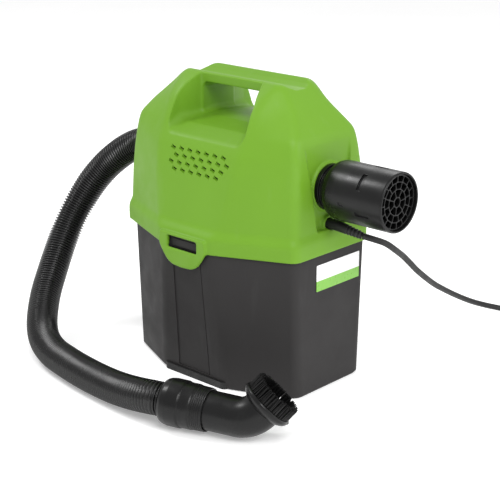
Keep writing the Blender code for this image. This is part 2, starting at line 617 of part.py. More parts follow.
# ---- motor --------------------------------------------------------------------------------
def build_motor():
    """Universal motor that stands upright on its fan case."""
    top = PLATE_Z + PLATE_THICK
    turned("fan_gasket", tube_profile(0.0450, 0.0300, top + GAP, top + 0.0040), RUBBER, sides=28)
    case_low = top + 0.0043
    case_high = 0.2370
    case = turned("fan_case", [(0.0185, case_low), (0.0580, case_low), (0.0580, case_high),
                               (0.0150, case_high), (0.0150, case_high - 0.0015),
                               (0.0565, case_high - 0.0015), (0.0565, case_low + 0.0015),
                               (0.0185, case_low + 0.0015)], ALLOY, sides=36)
    cut(case, bore("case_outlet", 0.0095, 0.040, 0.075, frame_along((0, 0, 0.2235), (1, 0, 0)), 16))
    turned("lower_bracket", [(0.0420, case_high + GAP), (0.0420, 0.2405), (0.0145, 0.2405), (0.0145, 0.2455),
                             (0.0113, 0.2455), (0.0113, case_high + GAP)], ALLOY, sides=28)
    turned("lower_bearing", tube_profile(0.0110, 0.0043, 0.2385, 0.2450), STEEL, sides=16)
    turned("lower_winding", tube_profile(0.0370, 0.0260, 0.2460, 0.2525), COPPER, sides=28)
    turned("stator_core", tube_profile(0.0410, 0.0235, 0.2528, 0.2820), STEEL, sides=32)
    turned("upper_winding", tube_profile(0.0350, 0.0260, 0.2823, 0.2890), COPPER, sides=28)
    frame_low, deck = 0.2823, 0.3030
    end_frame = turned("end_frame", [(0.0410, frame_low), (0.0410, deck + 0.003), (0.0145, deck + 0.003),
                                     (0.0145, 0.3160), (0.0113, 0.3160), (0.0113, deck), (0.0380, deck),
                                     (0.0380, frame_low)], BLACK, sides=32)
    cut(end_frame, box("brush_window", (-0.060, -0.0063, 0.2900), (0.060, 0.0063, 0.3005), BLACK))
    turned("upper_bearing", tube_profile(0.0110, 0.0043, 0.3095, 0.3155), STEEL, sides=16)
    turned("motor_mount", [(0.0200, 0.3090), (0.0200, 0.3240), (0.0, 0.3240), (0.0, 0.3205), (0.0148, 0.3205),
                           (0.0148, 0.3090)], RUBBER, sides=20)
    for side, word in ((-1, "left"), (1, "right")):
        low, high = sorted((side * 0.0155, side * 0.0440))
        box(f"brush_holder_{word}", (low, -0.0060, 0.2903), (high, 0.0060, 0.3002), COPPER)
        low, high = sorted((side * 0.0118, side * 0.0152))
        box(f"carbon_brush_{word}", (low, -0.0035, 0.2920), (high, 0.0035, 0.2985), CARBON)

    turned("motor_shaft", [(0.0, 0.2085), (0.0040, 0.2085), (0.0040, 0.3195), (0.0, 0.3195)], STEEL, sides=12)
    slots = 12
    star = []
    for k in range(slots):
        for radius, part in ((0.0225, 0.08), (0.0225, 0.72), (0.0190, 0.76), (0.0190, 1.04)):
            angle = 2 * math.pi * (k + part) / slots
            star.append((radius * math.cos(angle), radius * math.sin(angle)))
    hub = [(0.0043 * math.cos(2 * math.pi * k / len(star)), 0.0043 * math.sin(2 * math.pi * k / len(star)))
           for k in range(len(star))]
    closed_loft("armature", [[(x, y, z) for x, y in outline] for outline, z in
                             ((star, 0.2530), (star, 0.2815), (hub, 0.2815), (hub, 0.2530))], STEEL)
    turned("commutator", tube_profile(0.0115, 0.0043, 0.2890, 0.3000), COPPER, sides=20)
    blades = 8
    outline = []
    for k in range(blades):
        middle = 2 * math.pi * k / blades
        for radius, offset in ((0.0110, -0.10), (0.0490, 0.35), (0.0490, 0.385), (0.0110, 0.10)):
            outline.append((radius * math.cos(middle + offset), radius * math.sin(middle + offset)))
    impeller = prism("impeller", outline, 0.2140, 0.2290, ALLOY)
    disc = [(0.0, 0.2280), (0.0500, 0.2280), (0.0500, 0.2300), (0.0070, 0.2300), (0.0070, 0.2320),
            (0.0, 0.2320)]
    join(impeller, turned("impeller_disc", disc, ALLOY, sides=32))
    cut(impeller, bore("impeller_bore", 0.0043, 0.20, 0.24, sides=12))
    turned("impeller_nut", tube_profile(0.0068, 0.0050, 0.2095, 0.2137), STEEL, sides=6)


# ---- switch, lead outlet and small parts --------------------------------------------------
SWITCH_CENTRE = Vector((-0.1175, -0.0190, 0.3475))
SWITCH_NORMAL = Vector((-0.79, 0.0, 0.61))


def switch_place():
    """Placing matrix of the switch: local X up the slope, local Z out of the wall."""
    normal = SWITCH_NORMAL.normalized()
    along = Vector((0, 1, 0)).cross(normal).normalized()
    across = normal.cross(along)
    place = Matrix((along, across, normal)).transposed().to_4x4()
    place.translation = SWITCH_CENTRE
    return place


def build_switch(housing):
    """Rocker switch in the sloping shoulder at the hose end."""
    place = switch_place()
    frame = prism("switch_frame", rounded_outline(0.0160, 0.0115, 0.002, 2), -0.0120, 0.0020, BLACK, place)
    cut(frame, prism("switch_well", rounded_outline(0.0137, 0.0092, 0.001, 1), -0.0080, 0.0100, BLACK, place))
    seat = rounded_outline(0.0160 + GAP, 0.0115 + GAP, 0.002, 2)
    cut(housing, prism("switch_seat", seat, -0.0200, 0.0200, BLACK, place))
    rocker = [(-0.0126, 0.0005), (-0.0060, -0.0064), (0.0060, -0.0064), (0.0126, -0.0020), (0.0126, 0.0018),
              (0.0, 0.0012), (-0.0126, 0.0045)]
    prism("switch_rocker", rocker, -0.0084, 0.0084, BLACK, place @ Matrix.Rotation(math.pi / 2, 4, "X"))


def build_fittings():
    """Lead sleeve, cord clamp, terminal block, capacitor and the screws of the head."""
    sleeve = [(0.1340, 0.0, GLAND_Z), (0.1480, 0.0, GLAND_Z), (0.1620, 0.0015, 0.2140),
              (0.1735, 0.0050, 0.2108), (0.1820, 0.0098, 0.2073)]
    cord_tube("strain_relief", sleeve, 0.0068, 0.0050, 3, RUBBER, (1.0, 0.66))
    box("cord_clamp", (0.1100, -0.0130, 0.2150), (0.1240, 0.0130, 0.2190), BLACK)
    box("terminal_block", (0.0680, 0.0330, 0.2030), (0.0960, 0.0470, 0.2150), WHITE)
    turned("capacitor", [(0.0, 0.2030), (0.0080, 0.2030), (0.0080, 0.2270), (0.0, 0.2270)], COPPER,
           Matrix.Translation((0.075, -0.040, 0.0)), 14)
    for k, (x, y) in enumerate(((-0.118, -0.045), (-0.118, 0.045), (0.118, -0.045), (0.118, 0.045))):
        low = PLATE_Z + PLATE_THICK + GAP
        head = [(0.0, low), (0.0036, low), (0.0036, low + 0.0020), (0.0, low + 0.0020)]
        turned(f"plate_screw_{k + 1}", head, STEEL, Matrix.Translation((x, y, 0.0)), 10)


# ---- hose and nozzle ----------------------------------------------------------------------
NOZZLE_START = Vector((0.0698, -0.2174, 0.0305))
NOZZLE_HEADING = Vector((0.9437, 0.3284, -0.0412)).normalized()
BRUSH_HEADING = Vector((0.4600, 0.5320, 0.7110)).normalized()
CUFF_LENGTH = 0.058
ELBOW_ENTRY = 0.0306         # how far into the cuff the elbow starts
ELBOW_STRAIGHT = 0.093       # where the elbow starts to turn
ELBOW_BEND_R = 0.034
ELBOW_R = 0.0240
COLLAR_HEIGHT = 0.0125


def build_hose():
    """Hose with its end cuff, the hand cuff, the elbow and the swivelling round brush."""
    shift = INLET_EXTRA
    turned("hose_cuff", [(0.0232, 0.1220 + shift), (0.0232, 0.1503 + shift), (0.0265, 0.1503 + shift),
                         (0.0265, 0.1655 + shift), (0.0240, 0.1720 + shift), (0.0185, 0.1720 + shift),
                         (0.0185, 0.1220 + shift)], BLACK, frame_along((0, 0, PORT_Z), (-1, 0, 0)), 24)
    cord_tube("suction_hose", HOSE_ROUTE, HOSE_R, 0.0170, 4, BLACK)
    place = frame_along(NOZZLE_START, NOZZLE_HEADING)
    turned("hand_cuff", [(0.0225, GAP), (0.0262, GAP), (CUFF_R - 0.001, 0.004), (CUFF_R, 0.010),
                         (CUFF_R, 0.026), (CUFF_R - 0.0012, 0.0275), (CUFF_R - 0.0012, 0.040),
                         (0.0262, CUFF_LENGTH), (ELBOW_R + GAP, CUFF_LENGTH), (ELBOW_R + GAP, 0.030),
                         (0.0190, 0.030), (0.0190, GAP)], BLACK, place, 28)
    turn_from = NOZZLE_START + NOZZLE_HEADING * ELBOW_STRAIGHT
    path = [NOZZLE_START + NOZZLE_HEADING * ELBOW_ENTRY]
    path += bend(turn_from, NOZZLE_HEADING, BRUSH_HEADING, ELBOW_BEND_R, 6)
    base = path[-1]
    path.append(base + BRUSH_HEADING * COLLAR_HEIGHT)
    pipe("nozzle_elbow", path, ELBOW_R, ELBOW_R - 0.0022, BLACK, 20)
    collar = frame_along(base, BRUSH_HEADING)
    top = COLLAR_HEIGHT
    turned("brush_collar", [(ELBOW_R + GAP, 0.0010), (0.0262, 0.0010), (0.0318, 0.0060), (0.0330, 0.0085),
                            (0.0330, top), (ELBOW_R + GAP, top)], BLACK, collar, 28)
    turned("brush_bristles", [(0.0310, top + GAP), (0.0300, top + 0.018), (0.0238, top + 0.018),
                              (0.0245, top + GAP)], BRISTLE, collar, 28)


# ---- coiled lead and plug -----------------------------------------------------------------
PLUG_TIP = Vector((0.1732, 0.5040, 0.0180))


def build_lead():
    """Mains lead: the run to the floor, the tied coil, the short tail and the plug."""
    cord_tube("mains_lead", CORD_ROUTE, CORD_R, 0.0110, 2, RUBBER)
    cord_tube("lead_tail", TAIL_ROUTE, CORD_R, 0.0100, 2, RUBBER)
    centre = Matrix.Translation((*COIL_CENTRE, COIL_BASE_Z))
    inner, outer, soft = COIL_MID_R - COIL_HALF, COIL_MID_R + COIL_HALF, 0.004
    turned("lead_coil", [(outer, soft), (outer, 2 * COIL_HALF - soft), (outer - soft, 2 * COIL_HALF),
                         (inner + soft, 2 * COIL_HALF), (inner, 2 * COIL_HALF - soft), (inner, soft),
                         (inner + soft, 0.0), (outer - soft, 0.0)], RUBBER, centre, 32)
    strap_turn = centre @ Matrix.Rotation(math.radians(-60), 4, "Z")
    loops = []
    for along, grow in ((-0.006, 0.0014), (0.006, 0.0014), (0.006, GAP), (-0.006, GAP)):
        near, far, low, high = inner - grow - STRAP_SLACK, outer + grow, -grow, 2 * COIL_HALF + grow
        corners = [(near, along, low), (far, along, low), (far, along, high), (near, along, high)]
        loops.append([strap_turn @ Vector(p) for p in corners])
    closed_loft("coil_strap", loops, RUBBER)
    place = frame_along(PLUG_TIP, (-1, 0, 0))
    turned("plug_body", [(0.0, 0.0), (0.0060, 0.0), (0.0075, 0.012), (0.0120, 0.018), (0.0165, 0.024),
                         (0.0175, 0.032), (0.0175, 0.046), (0.0165, 0.048), (0.0, 0.048)], BLACK, place, 24)
    for k, offset in enumerate((-0.0095, 0.0095)):
        pin = place @ Matrix.Translation((0.0, offset, 0.0))
        turned(f"plug_pin_{k + 1}", [(0.0, 0.0483), (0.0024, 0.0483), (0.0024, 0.0655), (0.0016, 0.0670),
                                     (0.0, 0.0670)], STEEL, pin, 10)


build_tank()
housing = build_housing()
cut_vents(housing)
build_plate_and_filter()
build_ports()
build_motor()
build_switch(housing)
build_fittings()
build_hose()
build_lead()
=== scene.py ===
"""Looks of a portable workshop vacuum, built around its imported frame.

Units are metres and +Z is up. +X is the exhaust end, -X is the hose end, and -Y is the front. The front and
the rear each carry a latch tab.
"""

import logging
import math
import random
from dataclasses import dataclass, field
from enum import Enum
from typing import ClassVar

import bmesh
import bpy
from mathutils import Matrix, Vector


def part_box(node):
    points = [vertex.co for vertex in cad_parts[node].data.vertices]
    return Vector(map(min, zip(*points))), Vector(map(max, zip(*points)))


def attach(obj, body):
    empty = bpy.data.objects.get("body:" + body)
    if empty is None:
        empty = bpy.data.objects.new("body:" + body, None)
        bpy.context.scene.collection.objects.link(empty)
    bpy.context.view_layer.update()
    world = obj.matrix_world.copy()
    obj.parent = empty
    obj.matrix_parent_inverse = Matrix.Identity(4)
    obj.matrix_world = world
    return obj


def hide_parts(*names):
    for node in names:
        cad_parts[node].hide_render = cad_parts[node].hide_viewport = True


logging.basicConfig(level=logging.INFO, format="%(message)s")
log = logging.getLogger("vacuum")

Colour = tuple[float, float, float]
Point = tuple[float, float, float]
Flat = tuple[float, float]
Section = tuple[float, float, float, float, float]

# GAP is the clearance between fitted pieces, and CLEAR is how far a cutter stands out of its surface.
GAP = 0.0003
CLEAR = 0.010
TOP_Z = 0.385
RIM_Z = 0.181
PORT_Z = 0.263
GLAND_Z = 0.216
HOSE_R = 0.021
CORD_R = 0.004

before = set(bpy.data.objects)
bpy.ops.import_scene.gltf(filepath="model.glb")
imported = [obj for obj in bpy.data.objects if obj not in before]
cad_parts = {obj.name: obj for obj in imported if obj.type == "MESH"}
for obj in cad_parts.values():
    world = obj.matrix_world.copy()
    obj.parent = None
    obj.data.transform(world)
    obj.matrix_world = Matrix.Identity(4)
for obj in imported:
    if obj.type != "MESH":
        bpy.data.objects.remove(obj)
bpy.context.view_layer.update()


class Slot(Enum):
    """The record's material slots."""

    GREEN = "green_plastic"
    SMOKE = "smoke_plastic"
    BLACK = "black_plastic"
    HOSE = "hose_plastic"
    RUBBER = "black_rubber"
    WHITE = "white_plastic"
    LABEL = "label_film"
    STEEL = "zinc_steel"
    ALLOY = "cast_alloy"
    COPPER = "copper_wire"
    CARBON = "carbon"
    PAPER = "filter_paper"
    BRISTLE = "bristle"


class Cut(Enum):
    """What a tool solid does to its target."""

    ADD = "UNION"
    REMOVE = "DIFFERENCE"


# ---- materials ----------------------------------------------------------------------------
def shade(colour: Colour, factor: float) -> Colour:
    """Returns the colour made lighter or darker by a factor."""
    return tuple(min(1.0, channel * factor) for channel in colour)


class Graph:
    """Builds the node graph of one Principled material."""

    def __init__(self, name: str, roughness: float, metallic: float = 0.0) -> None:
        """Starts a material.

        Args:
            name: the material's name.
            roughness: roughness before any pattern is linked.
            metallic: 1 for bare metal.
        """
        self.material = bpy.data.materials.new(name)
        self.material.use_nodes = True
        self.nodes = self.material.node_tree.nodes
        self.links = self.material.node_tree.links
        self.shader = self.nodes["Principled BSDF"]
        self.shader.inputs["Metallic"].default_value = metallic
        self.shader.inputs["Roughness"].default_value = roughness
        self.place = self.nodes.new("ShaderNodeTexCoord").outputs["Object"]

    def stretched(self, stretch: Point) -> bpy.types.NodeSocket:
        """Stretches the object's own coordinates.

        Args:
            stretch: factor along each axis.

        Returns:
            The coordinates' socket.
        """
        mapping = self.nodes.new("ShaderNodeMapping")
        mapping.inputs["Scale"].default_value = stretch
        self.links.new(self.place, mapping.inputs["Vector"])
        return mapping.outputs["Vector"]

    def noise(self, scale: float, detail: float = 3.0, stretch: Point = (1, 1, 1)) -> bpy.types.NodeSocket:
        """Returns a noise pattern.

        Args:
            scale: cells to the metre.
            detail: octaves.
            stretch: factor along each axis.

        Returns:
            The pattern's value socket, from 0 to 1.
        """
        node = self.nodes.new("ShaderNodeTexNoise")
        node.inputs["Scale"].default_value = scale
        node.inputs["Detail"].default_value = detail
        self.links.new(self.stretched(stretch), node.inputs["Vector"])
        return node.outputs["Fac"]

    def bands(self, scale: float, distortion: float = 0.0) -> bpy.types.NodeSocket:
        """Lays parallel bands across the Z axis.

        Args:
            scale: bands to the metre, roughly.
            distortion: how far the bands wander.

        Returns:
            The pattern's value socket, from 0 to 1.
        """
        node = self.nodes.new("ShaderNodeTexWave")
        node.bands_direction = "Z"
        node.inputs["Scale"].default_value = scale
        node.inputs["Distortion"].default_value = distortion
        self.links.new(self.place, node.inputs["Vector"])
        return node.outputs["Fac"]

    def along(self, axis: str) -> bpy.types.NodeSocket:
        """Splits off one coordinate of the object's own space.

        Args:
            axis: X, Y or Z.

        Returns:
            The coordinate's socket.
        """
        node = self.nodes.new("ShaderNodeSeparateXYZ")
        self.links.new(self.place, node.inputs[0])
        return node.outputs[axis]

    def span(self, value: bpy.types.NodeSocket, low: float, high: float,
             start: float = 0.3, stop: float = 0.7) -> bpy.types.NodeSocket:
        """Maps a value from one range to another, clamped.

        Args:
            value: the socket to map.
            low: result where the value is start or less.
            high: result where the value is stop or more.
            start: lower end of the value's range.
            stop: upper end of the value's range.

        Returns:
            The mapped value's socket.
        """
        node = self.nodes.new("ShaderNodeMapRange")
        node.inputs["From Min"].default_value = start
        node.inputs["From Max"].default_value = stop
        node.inputs["To Min"].default_value = low
        node.inputs["To Max"].default_value = high
        self.links.new(value, node.inputs["Value"])
        return node.outputs["Result"]

    def tint(self, factor: bpy.types.NodeSocket, first: "Colour | bpy.types.NodeSocket",
             second: "Colour | bpy.types.NodeSocket") -> bpy.types.NodeSocket:
        """Blends two colours by a factor.

        Args:
            factor: 0 for the first and 1 for the second.
            first: a colour or a colour socket.
            second: a colour or a colour socket.

        Returns:
            The blended colour's socket.
        """
        node = self.nodes.new("ShaderNodeMixRGB")
        self.links.new(factor, node.inputs["Fac"])
        for name, value in (("Color1", first), ("Color2", second)):
            if isinstance(value, tuple):
                node.inputs[name].default_value = (*value, 1.0)
            else:
                self.links.new(value, node.inputs[name])
        return node.outputs["Color"]

    def bump(self, height: bpy.types.NodeSocket, depth: float,
             under: "bpy.types.NodeSocket | None" = None) -> bpy.types.NodeSocket:
        """Turns a height pattern into a normal.

        Args:
            height: the pattern's socket.
            depth: height of the pattern.
            under: a coarser normal that this one lies on.

        Returns:
            The normal's socket.
        """
        node = self.nodes.new("ShaderNodeBump")
        node.inputs["Strength"].default_value = 1.0
        node.inputs["Distance"].default_value = depth
        self.links.new(height, node.inputs["Height"])
        if under is not None:
            self.links.new(under, node.inputs["Normal"])
        return node.outputs["Normal"]

    def finish(self, colour: bpy.types.NodeSocket, roughness: bpy.types.NodeSocket,
               normal: bpy.types.NodeSocket) -> bpy.types.Material:
        """Links the patterns to the shader.

        Args:
            colour: base colour's socket.
            roughness: roughness's socket.
            normal: normal's socket.

        Returns:
            The finished material.
        """
        self.links.new(colour, self.shader.inputs["Base Color"])
        self.links.new(roughness, self.shader.inputs["Roughness"])
        self.links.new(normal, self.shader.inputs["Normal"])
        return self.material


@dataclass(frozen=True)
class MouldedPlastic:
    """Injection-moulded plastic: fine eroded grain, faint flow marks and handling scuffs."""

    name: str
    colour: Colour
    roughness: float
    mottle: float = 0.05
    scuffs: float = 0.06
    grain: float = 1400.0
    grain_depth: float = 0.00004
    specular: float = 0.5

    def material(self) -> bpy.types.Material:
        """Makes the finish as a material.

        Returns:
            The material.
        """
        graph = Graph(self.name, self.roughness)
        graph.shader.inputs["Specular IOR Level"].default_value = self.specular
        flow = graph.span(graph.noise(8.0, 2.0, (1.0, 1.0, 0.4)), 0.0, 1.0)
        body = graph.tint(flow, shade(self.colour, 1 - self.mottle), shade(self.colour, 1 + self.mottle))
        scuff = graph.span(graph.noise(55.0, 9.0, (1.0, 1.0, 0.2)), 0.0, self.scuffs, 0.60, 0.74)
        pale = tuple(0.6 * channel + 0.25 for channel in self.colour)
        colour = graph.tint(scuff, body, pale)
        roughness = graph.span(graph.noise(38.0, 6.0), self.roughness - 0.05, self.roughness + 0.08)
        orange_peel = graph.bump(graph.noise(120.0, 2.0), 0.00008)
        grain = graph.bump(graph.noise(self.grain, 2.0), self.grain_depth, orange_peel)
        return graph.finish(colour, roughness, grain)


@dataclass(frozen=True)
class Rubber:
    """Matt rubber with a dusty bloom and fine pores."""

    name: str
    colour: Colour
    roughness: float = 0.62

    def material(self) -> bpy.types.Material:
        """Makes the finish as a material.

        Returns:
            The material.
        """
        graph = Graph(self.name, self.roughness)
        bloom = graph.span(graph.noise(30.0, 7.0), 0.0, 1.0, 0.35, 0.75)
        colour = graph.tint(bloom, self.colour, shade(self.colour, 2.2))
        roughness = graph.span(graph.noise(70.0, 4.0), self.roughness - 0.10, self.roughness + 0.08)
        pores = graph.bump(graph.noise(2200.0, 2.0), 0.00005, graph.bump(graph.noise(260.0), 0.00006))
        return graph.finish(colour, roughness, pores)


@dataclass(frozen=True)
class Metal:
    """Worked metal with drawn lines, stains and small dents."""

    name: str
    colour: Colour
    roughness: float
    lines: Point = (1.0, 1.0, 30.0)

    def material(self) -> bpy.types.Material:
        """Makes the finish as a material.

        Returns:
            The material.
        """
        graph = Graph(self.name, self.roughness, 1.0)
        stain = graph.span(graph.noise(28.0, 6.0), 0.0, 1.0)
        colour = graph.tint(stain, shade(self.colour, 0.82), shade(self.colour, 1.08))
        roughness = graph.span(graph.noise(90.0, 5.0), self.roughness - 0.08, self.roughness + 0.12)
        drawn = graph.bump(graph.noise(160.0, 3.0, self.lines), 0.00003)
        return graph.finish(colour, roughness, graph.bump(graph.noise(70.0), 0.00010, drawn))


@dataclass(frozen=True)
class Laminated:
    """Stacked sheets or wound wire, seen as fine bands."""

    name: str
    colour: Colour
    roughness: float
    pitch: float
    distortion: float = 0.0

    def material(self) -> bpy.types.Material:
        """Makes the finish as a material.

        Returns:
            The material.
        """
        graph = Graph(self.name, self.roughness, 0.9)
        bands = graph.bands(1.0 / self.pitch, self.distortion)
        colour = graph.tint(graph.span(bands, 0.0, 1.0), shade(self.colour, 0.45), self.colour)
        roughness = graph.span(graph.noise(80.0, 4.0), self.roughness - 0.06, self.roughness + 0.10)
        return graph.finish(colour, roughness, graph.bump(bands, self.pitch * 0.25))


@dataclass(frozen=True)
class Paper:
    """Pleated filter paper with fibres and dust in its folds."""

    name: str
    colour: Colour

    def material(self) -> bpy.types.Material:
        """Makes the finish as a material.

        Returns:
            The material.
        """
        graph = Graph(self.name, 0.9)
        dust = graph.span(graph.noise(42.0, 7.0), 0.0, 0.8)
        colour = graph.tint(dust, self.colour, shade(self.colour, 0.62))
        roughness = graph.span(graph.noise(300.0), 0.82, 0.97)
        fibres = graph.bump(graph.noise(900.0, 4.0, (1.0, 1.0, 0.3)), 0.00010)
        return graph.finish(colour, roughness, fibres)


@dataclass(frozen=True)
class LabelFilm:
    """Printed film: white above a coloured band, with no lettering."""

    name: str
    white: Colour
    band: Colour
    split_z: float

    def material(self) -> bpy.types.Material:
        """Makes the finish as a material.

        Returns:
            The material.
        """
        graph = Graph(self.name, 0.3)
        graph.shader.inputs["Coat Weight"].default_value = 0.35
        fibre = graph.span(graph.noise(60.0, 5.0), 0.0, 1.0)
        white = graph.tint(fibre, shade(self.white, 0.965), self.white)
        band = graph.tint(fibre, shade(self.band, 0.94), shade(self.band, 1.05))
        above = graph.span(graph.along("Z"), 0.0, 1.0, self.split_z - 0.0001, self.split_z + 0.0001)
        roughness = graph.span(graph.noise(140.0, 4.0), 0.24, 0.38)
        return graph.finish(graph.tint(above, band, white), roughness,
                            graph.bump(graph.noise(180.0, 3.0), 0.00004))


FINISHES = {
    Slot.GREEN: MouldedPlastic("green_shell", (0.138, 0.305, 0.018), 0.45, mottle=0.03, scuffs=0.03,
                               grain=1300.0, grain_depth=0.00002, specular=0.25),
    Slot.SMOKE: MouldedPlastic("smoke_tank", (0.031, 0.0295, 0.0295), 0.55, mottle=0.10, scuffs=0.02,
                               grain=1100.0, grain_depth=0.00003, specular=0.12),
    Slot.BLACK: MouldedPlastic("black_moulding", (0.0035, 0.0035, 0.0036), 0.30, mottle=0.15, scuffs=0.02,
                               grain=1500.0, grain_depth=0.00001, specular=0.30),
    Slot.HOSE: MouldedPlastic("hose_wall", (0.0022, 0.0022, 0.0023), 0.24, mottle=0.15, scuffs=0.01,
                              grain=1800.0, grain_depth=0.00001, specular=0.50),
    Slot.RUBBER: Rubber("black_rubber", (0.0045, 0.0045, 0.0045)),
    Slot.WHITE: MouldedPlastic("natural_plastic", (0.70, 0.70, 0.66), 0.45, mottle=0.04, scuffs=0.03),
    Slot.LABEL: LabelFilm("label_film", white=(0.84, 0.84, 0.84), band=(0.16, 0.42, 0.030), split_z=0.1480),
    Slot.STEEL: Metal("zinc_steel", (0.55, 0.55, 0.56), 0.34),
    Slot.ALLOY: Metal("pressed_alloy", (0.62, 0.62, 0.61), 0.42, lines=(1.0, 1.0, 6.0)),
    Slot.COPPER: Laminated("copper_wire", (0.65, 0.28, 0.12), 0.36, pitch=0.0008, distortion=1.5),
    Slot.CARBON: Rubber("carbon", (0.030, 0.030, 0.031), 0.70),
    Slot.PAPER: Paper("filter_paper", (0.62, 0.58, 0.48)),
    Slot.BRISTLE: MouldedPlastic("nylon_bristle", (0.0040, 0.0040, 0.0040), 0.35, mottle=0.30, scuffs=0.0,
                                 grain=2500.0, grain_depth=0.00001, specular=0.3),
}
DRY = {slot: finish.material() for slot, finish in FINISHES.items()}
LAMINATION = Laminated("stator_sheets", (0.42, 0.42, 0.43), 0.45, pitch=0.0010).material()


# ---- mesh tools ---------------------------------------------------------------------------
def add_mesh(name: str, bm: bmesh.types.BMesh, sharp: float = 40.0) -> bpy.types.Object:
    """Turns a bmesh into a smooth object with outward faces.

    Args:
        name: the piece's name.
        bm: the mesh, which is freed.
        sharp: edges that turn by more than this many degrees stay sharp.

    Returns:
        The new object.
    """
    bmesh.ops.recalc_face_normals(bm, faces=bm.faces)
    mesh = bpy.data.meshes.new(name)
    bm.to_mesh(mesh)
    bm.free()
    mesh.shade_smooth()
    mesh.set_sharp_from_angle(angle=math.radians(sharp))
    obj = bpy.data.objects.new(name, mesh)
    bpy.context.scene.collection.objects.link(obj)
    return obj


def skin(name: str, rings: list[list[Point]], endless: bool = False, sharp: float = 40.0) -> bpy.types.Object:
    """Skins equal rings of points.

    Args:
        name: the piece's name.
        rings: rings that hold the same number of points.
        endless: joins the last ring to the first, in place of a cap on each.
        sharp: edges that turn by more than this many degrees stay sharp.

    Returns:
        The new object.
    """
    bm = bmesh.new()
    loops = [[bm.verts.new(p) for p in ring] for ring in rings]
    following = loops[1:] + loops[:1] if endless else loops[1:]
    for low, high in zip(loops, following):
        for i, corner in enumerate(low):
            j = (i + 1) % len(low)
            bm.faces.new((corner, low[j], high[j], high[i]))
    if not endless:
        bm.faces.new(reversed(loops[0]))
        bm.faces.new(loops[-1])
    return add_mesh(name, bm, sharp)


def frame_along(origin: Point, direction: Point) -> Matrix:
    """Makes a placing matrix whose local Z runs along a direction.

    Args:
        origin: where the local origin goes.
        direction: the way that local Z points, of any length.

    Returns:
        The matrix.
    """
    z_axis = Vector(direction).normalized()
    helper = Vector((0, 0, 1)) if abs(z_axis.z) < 0.95 else Vector((0, 1, 0))
    x_axis = helper.cross(z_axis).normalized()
    matrix = Matrix((x_axis, z_axis.cross(x_axis), z_axis)).transposed().to_4x4()
    matrix.translation = Vector(origin)
    return matrix


def softened(outline: list[Flat], radius: float, steps: int = 3) -> list[Flat]:
    """Rounds the corners of a closed outline.

    Args:
        outline: corner points; two in a row on the turning axis stay as they are.
        radius: how far from each corner its curve starts.
        steps: segments in each curve.

    Returns:
        The outline with a curve in place of each corner.
    """
    result = []
    for i, corner in enumerate(outline):
        here = Vector(corner)
        before = Vector(outline[i - 1]) - here
        after = Vector(outline[(i + 1) % len(outline)]) - here
        if corner[0] < 1e-6:
            result.append(corner)
            continue
        start = here + before.normalized() * min(radius, before.length * 0.45)
        end = here + after.normalized() * min(radius, after.length * 0.45)
        for k in range(steps + 1):
            t = k / steps
            point = start * (1 - t) ** 2 + here * 2 * t * (1 - t) + end * t * t
            result.append((point.x, point.y))
    return result


def lathe(name: str, outline: list[Flat], place: "Matrix | None" = None, sides: int = 64,
          soft: float = 0.0) -> bpy.types.Object:
    """Turns a closed (radius, height) outline about its axis.

    Args:
        name: the piece's name.
        outline: closed outline; points on the axis become poles.
        place: matrix from the axis to the object.
        sides: segments round the axis.
        soft: rounding of the outline's corners.

    Returns:
        The new object.
    """
    profile = softened(outline, soft) if soft else outline
    bm = bmesh.new()
    columns = []
    for radius, height in profile:
        count = sides if radius > 1e-6 else 1
        turns = [2 * math.pi * k / sides for k in range(count)]
        columns.append([bm.verts.new((radius * math.cos(a), radius * math.sin(a), height)) for a in turns])
    for here, there in zip(columns, columns[1:] + columns[:1]):
        if len(here) == 1 and len(there) == 1:
            continue
        for k in range(sides):
            m = (k + 1) % sides
            if len(here) == 1:
                bm.faces.new((here[0], there[k], there[m]))
            elif len(there) == 1:
                bm.faces.new((here[k], here[m], there[0]))
            else:
                bm.faces.new((here[k], here[m], there[m], there[k]))
    if place is not None:
        bm.transform(place)
    return add_mesh(name, bm)


def rod(name: str, radius: float, low: float, high: float, place: Matrix,
        sides: int = 48) -> bpy.types.Object:
    """Solid rod along local Z."""
    return lathe(name, [(0, low), (radius, low), (radius, high), (0, high)], place, sides)


def rounded(half_x: float, half_y: float, radius: float, steps: int = 6) -> list[Flat]:
    """Draws a rectangle about the middle with round corners.

    Args:
        half_x: half its width.
        half_y: half its height.
        radius: radius of its corners.
        steps: segments in each corner.

    Returns:
        The closed outline.
    """
    points = []
    for sx, sy, start in ((1, 1, 0), (-1, 1, 90), (-1, -1, 180), (1, -1, 270)):
        for k in range(steps + 1):
            angle = math.radians(start + 90 * k / steps)
            points.append((sx * (half_x - radius) + radius * math.cos(angle),
                           sy * (half_y - radius) + radius * math.sin(angle)))
    return points


def prism(name: str, outline: list[Flat], low: float, high: float,
          place: "Matrix | None" = None) -> bpy.types.Object:
    """Extrudes a flat outline along local Z."""
    matrix = place or Matrix.Identity(4)
    return skin(name, [[tuple(matrix @ Vector((x, y, z))) for x, y in outline] for z in (low, high)])


def settle(obj: bpy.types.Object) -> bpy.types.Object:
    """Applies the modifiers of an object.

    Args:
        obj: the object.

    Returns:
        The same object with its final mesh.
    """
    depsgraph = bpy.context.evaluated_depsgraph_get()
    mesh = bpy.data.meshes.new_from_object(obj.evaluated_get(depsgraph))
    old = obj.data
    obj.modifiers.clear()
    obj.data = mesh
    bpy.data.meshes.remove(old)
    return obj


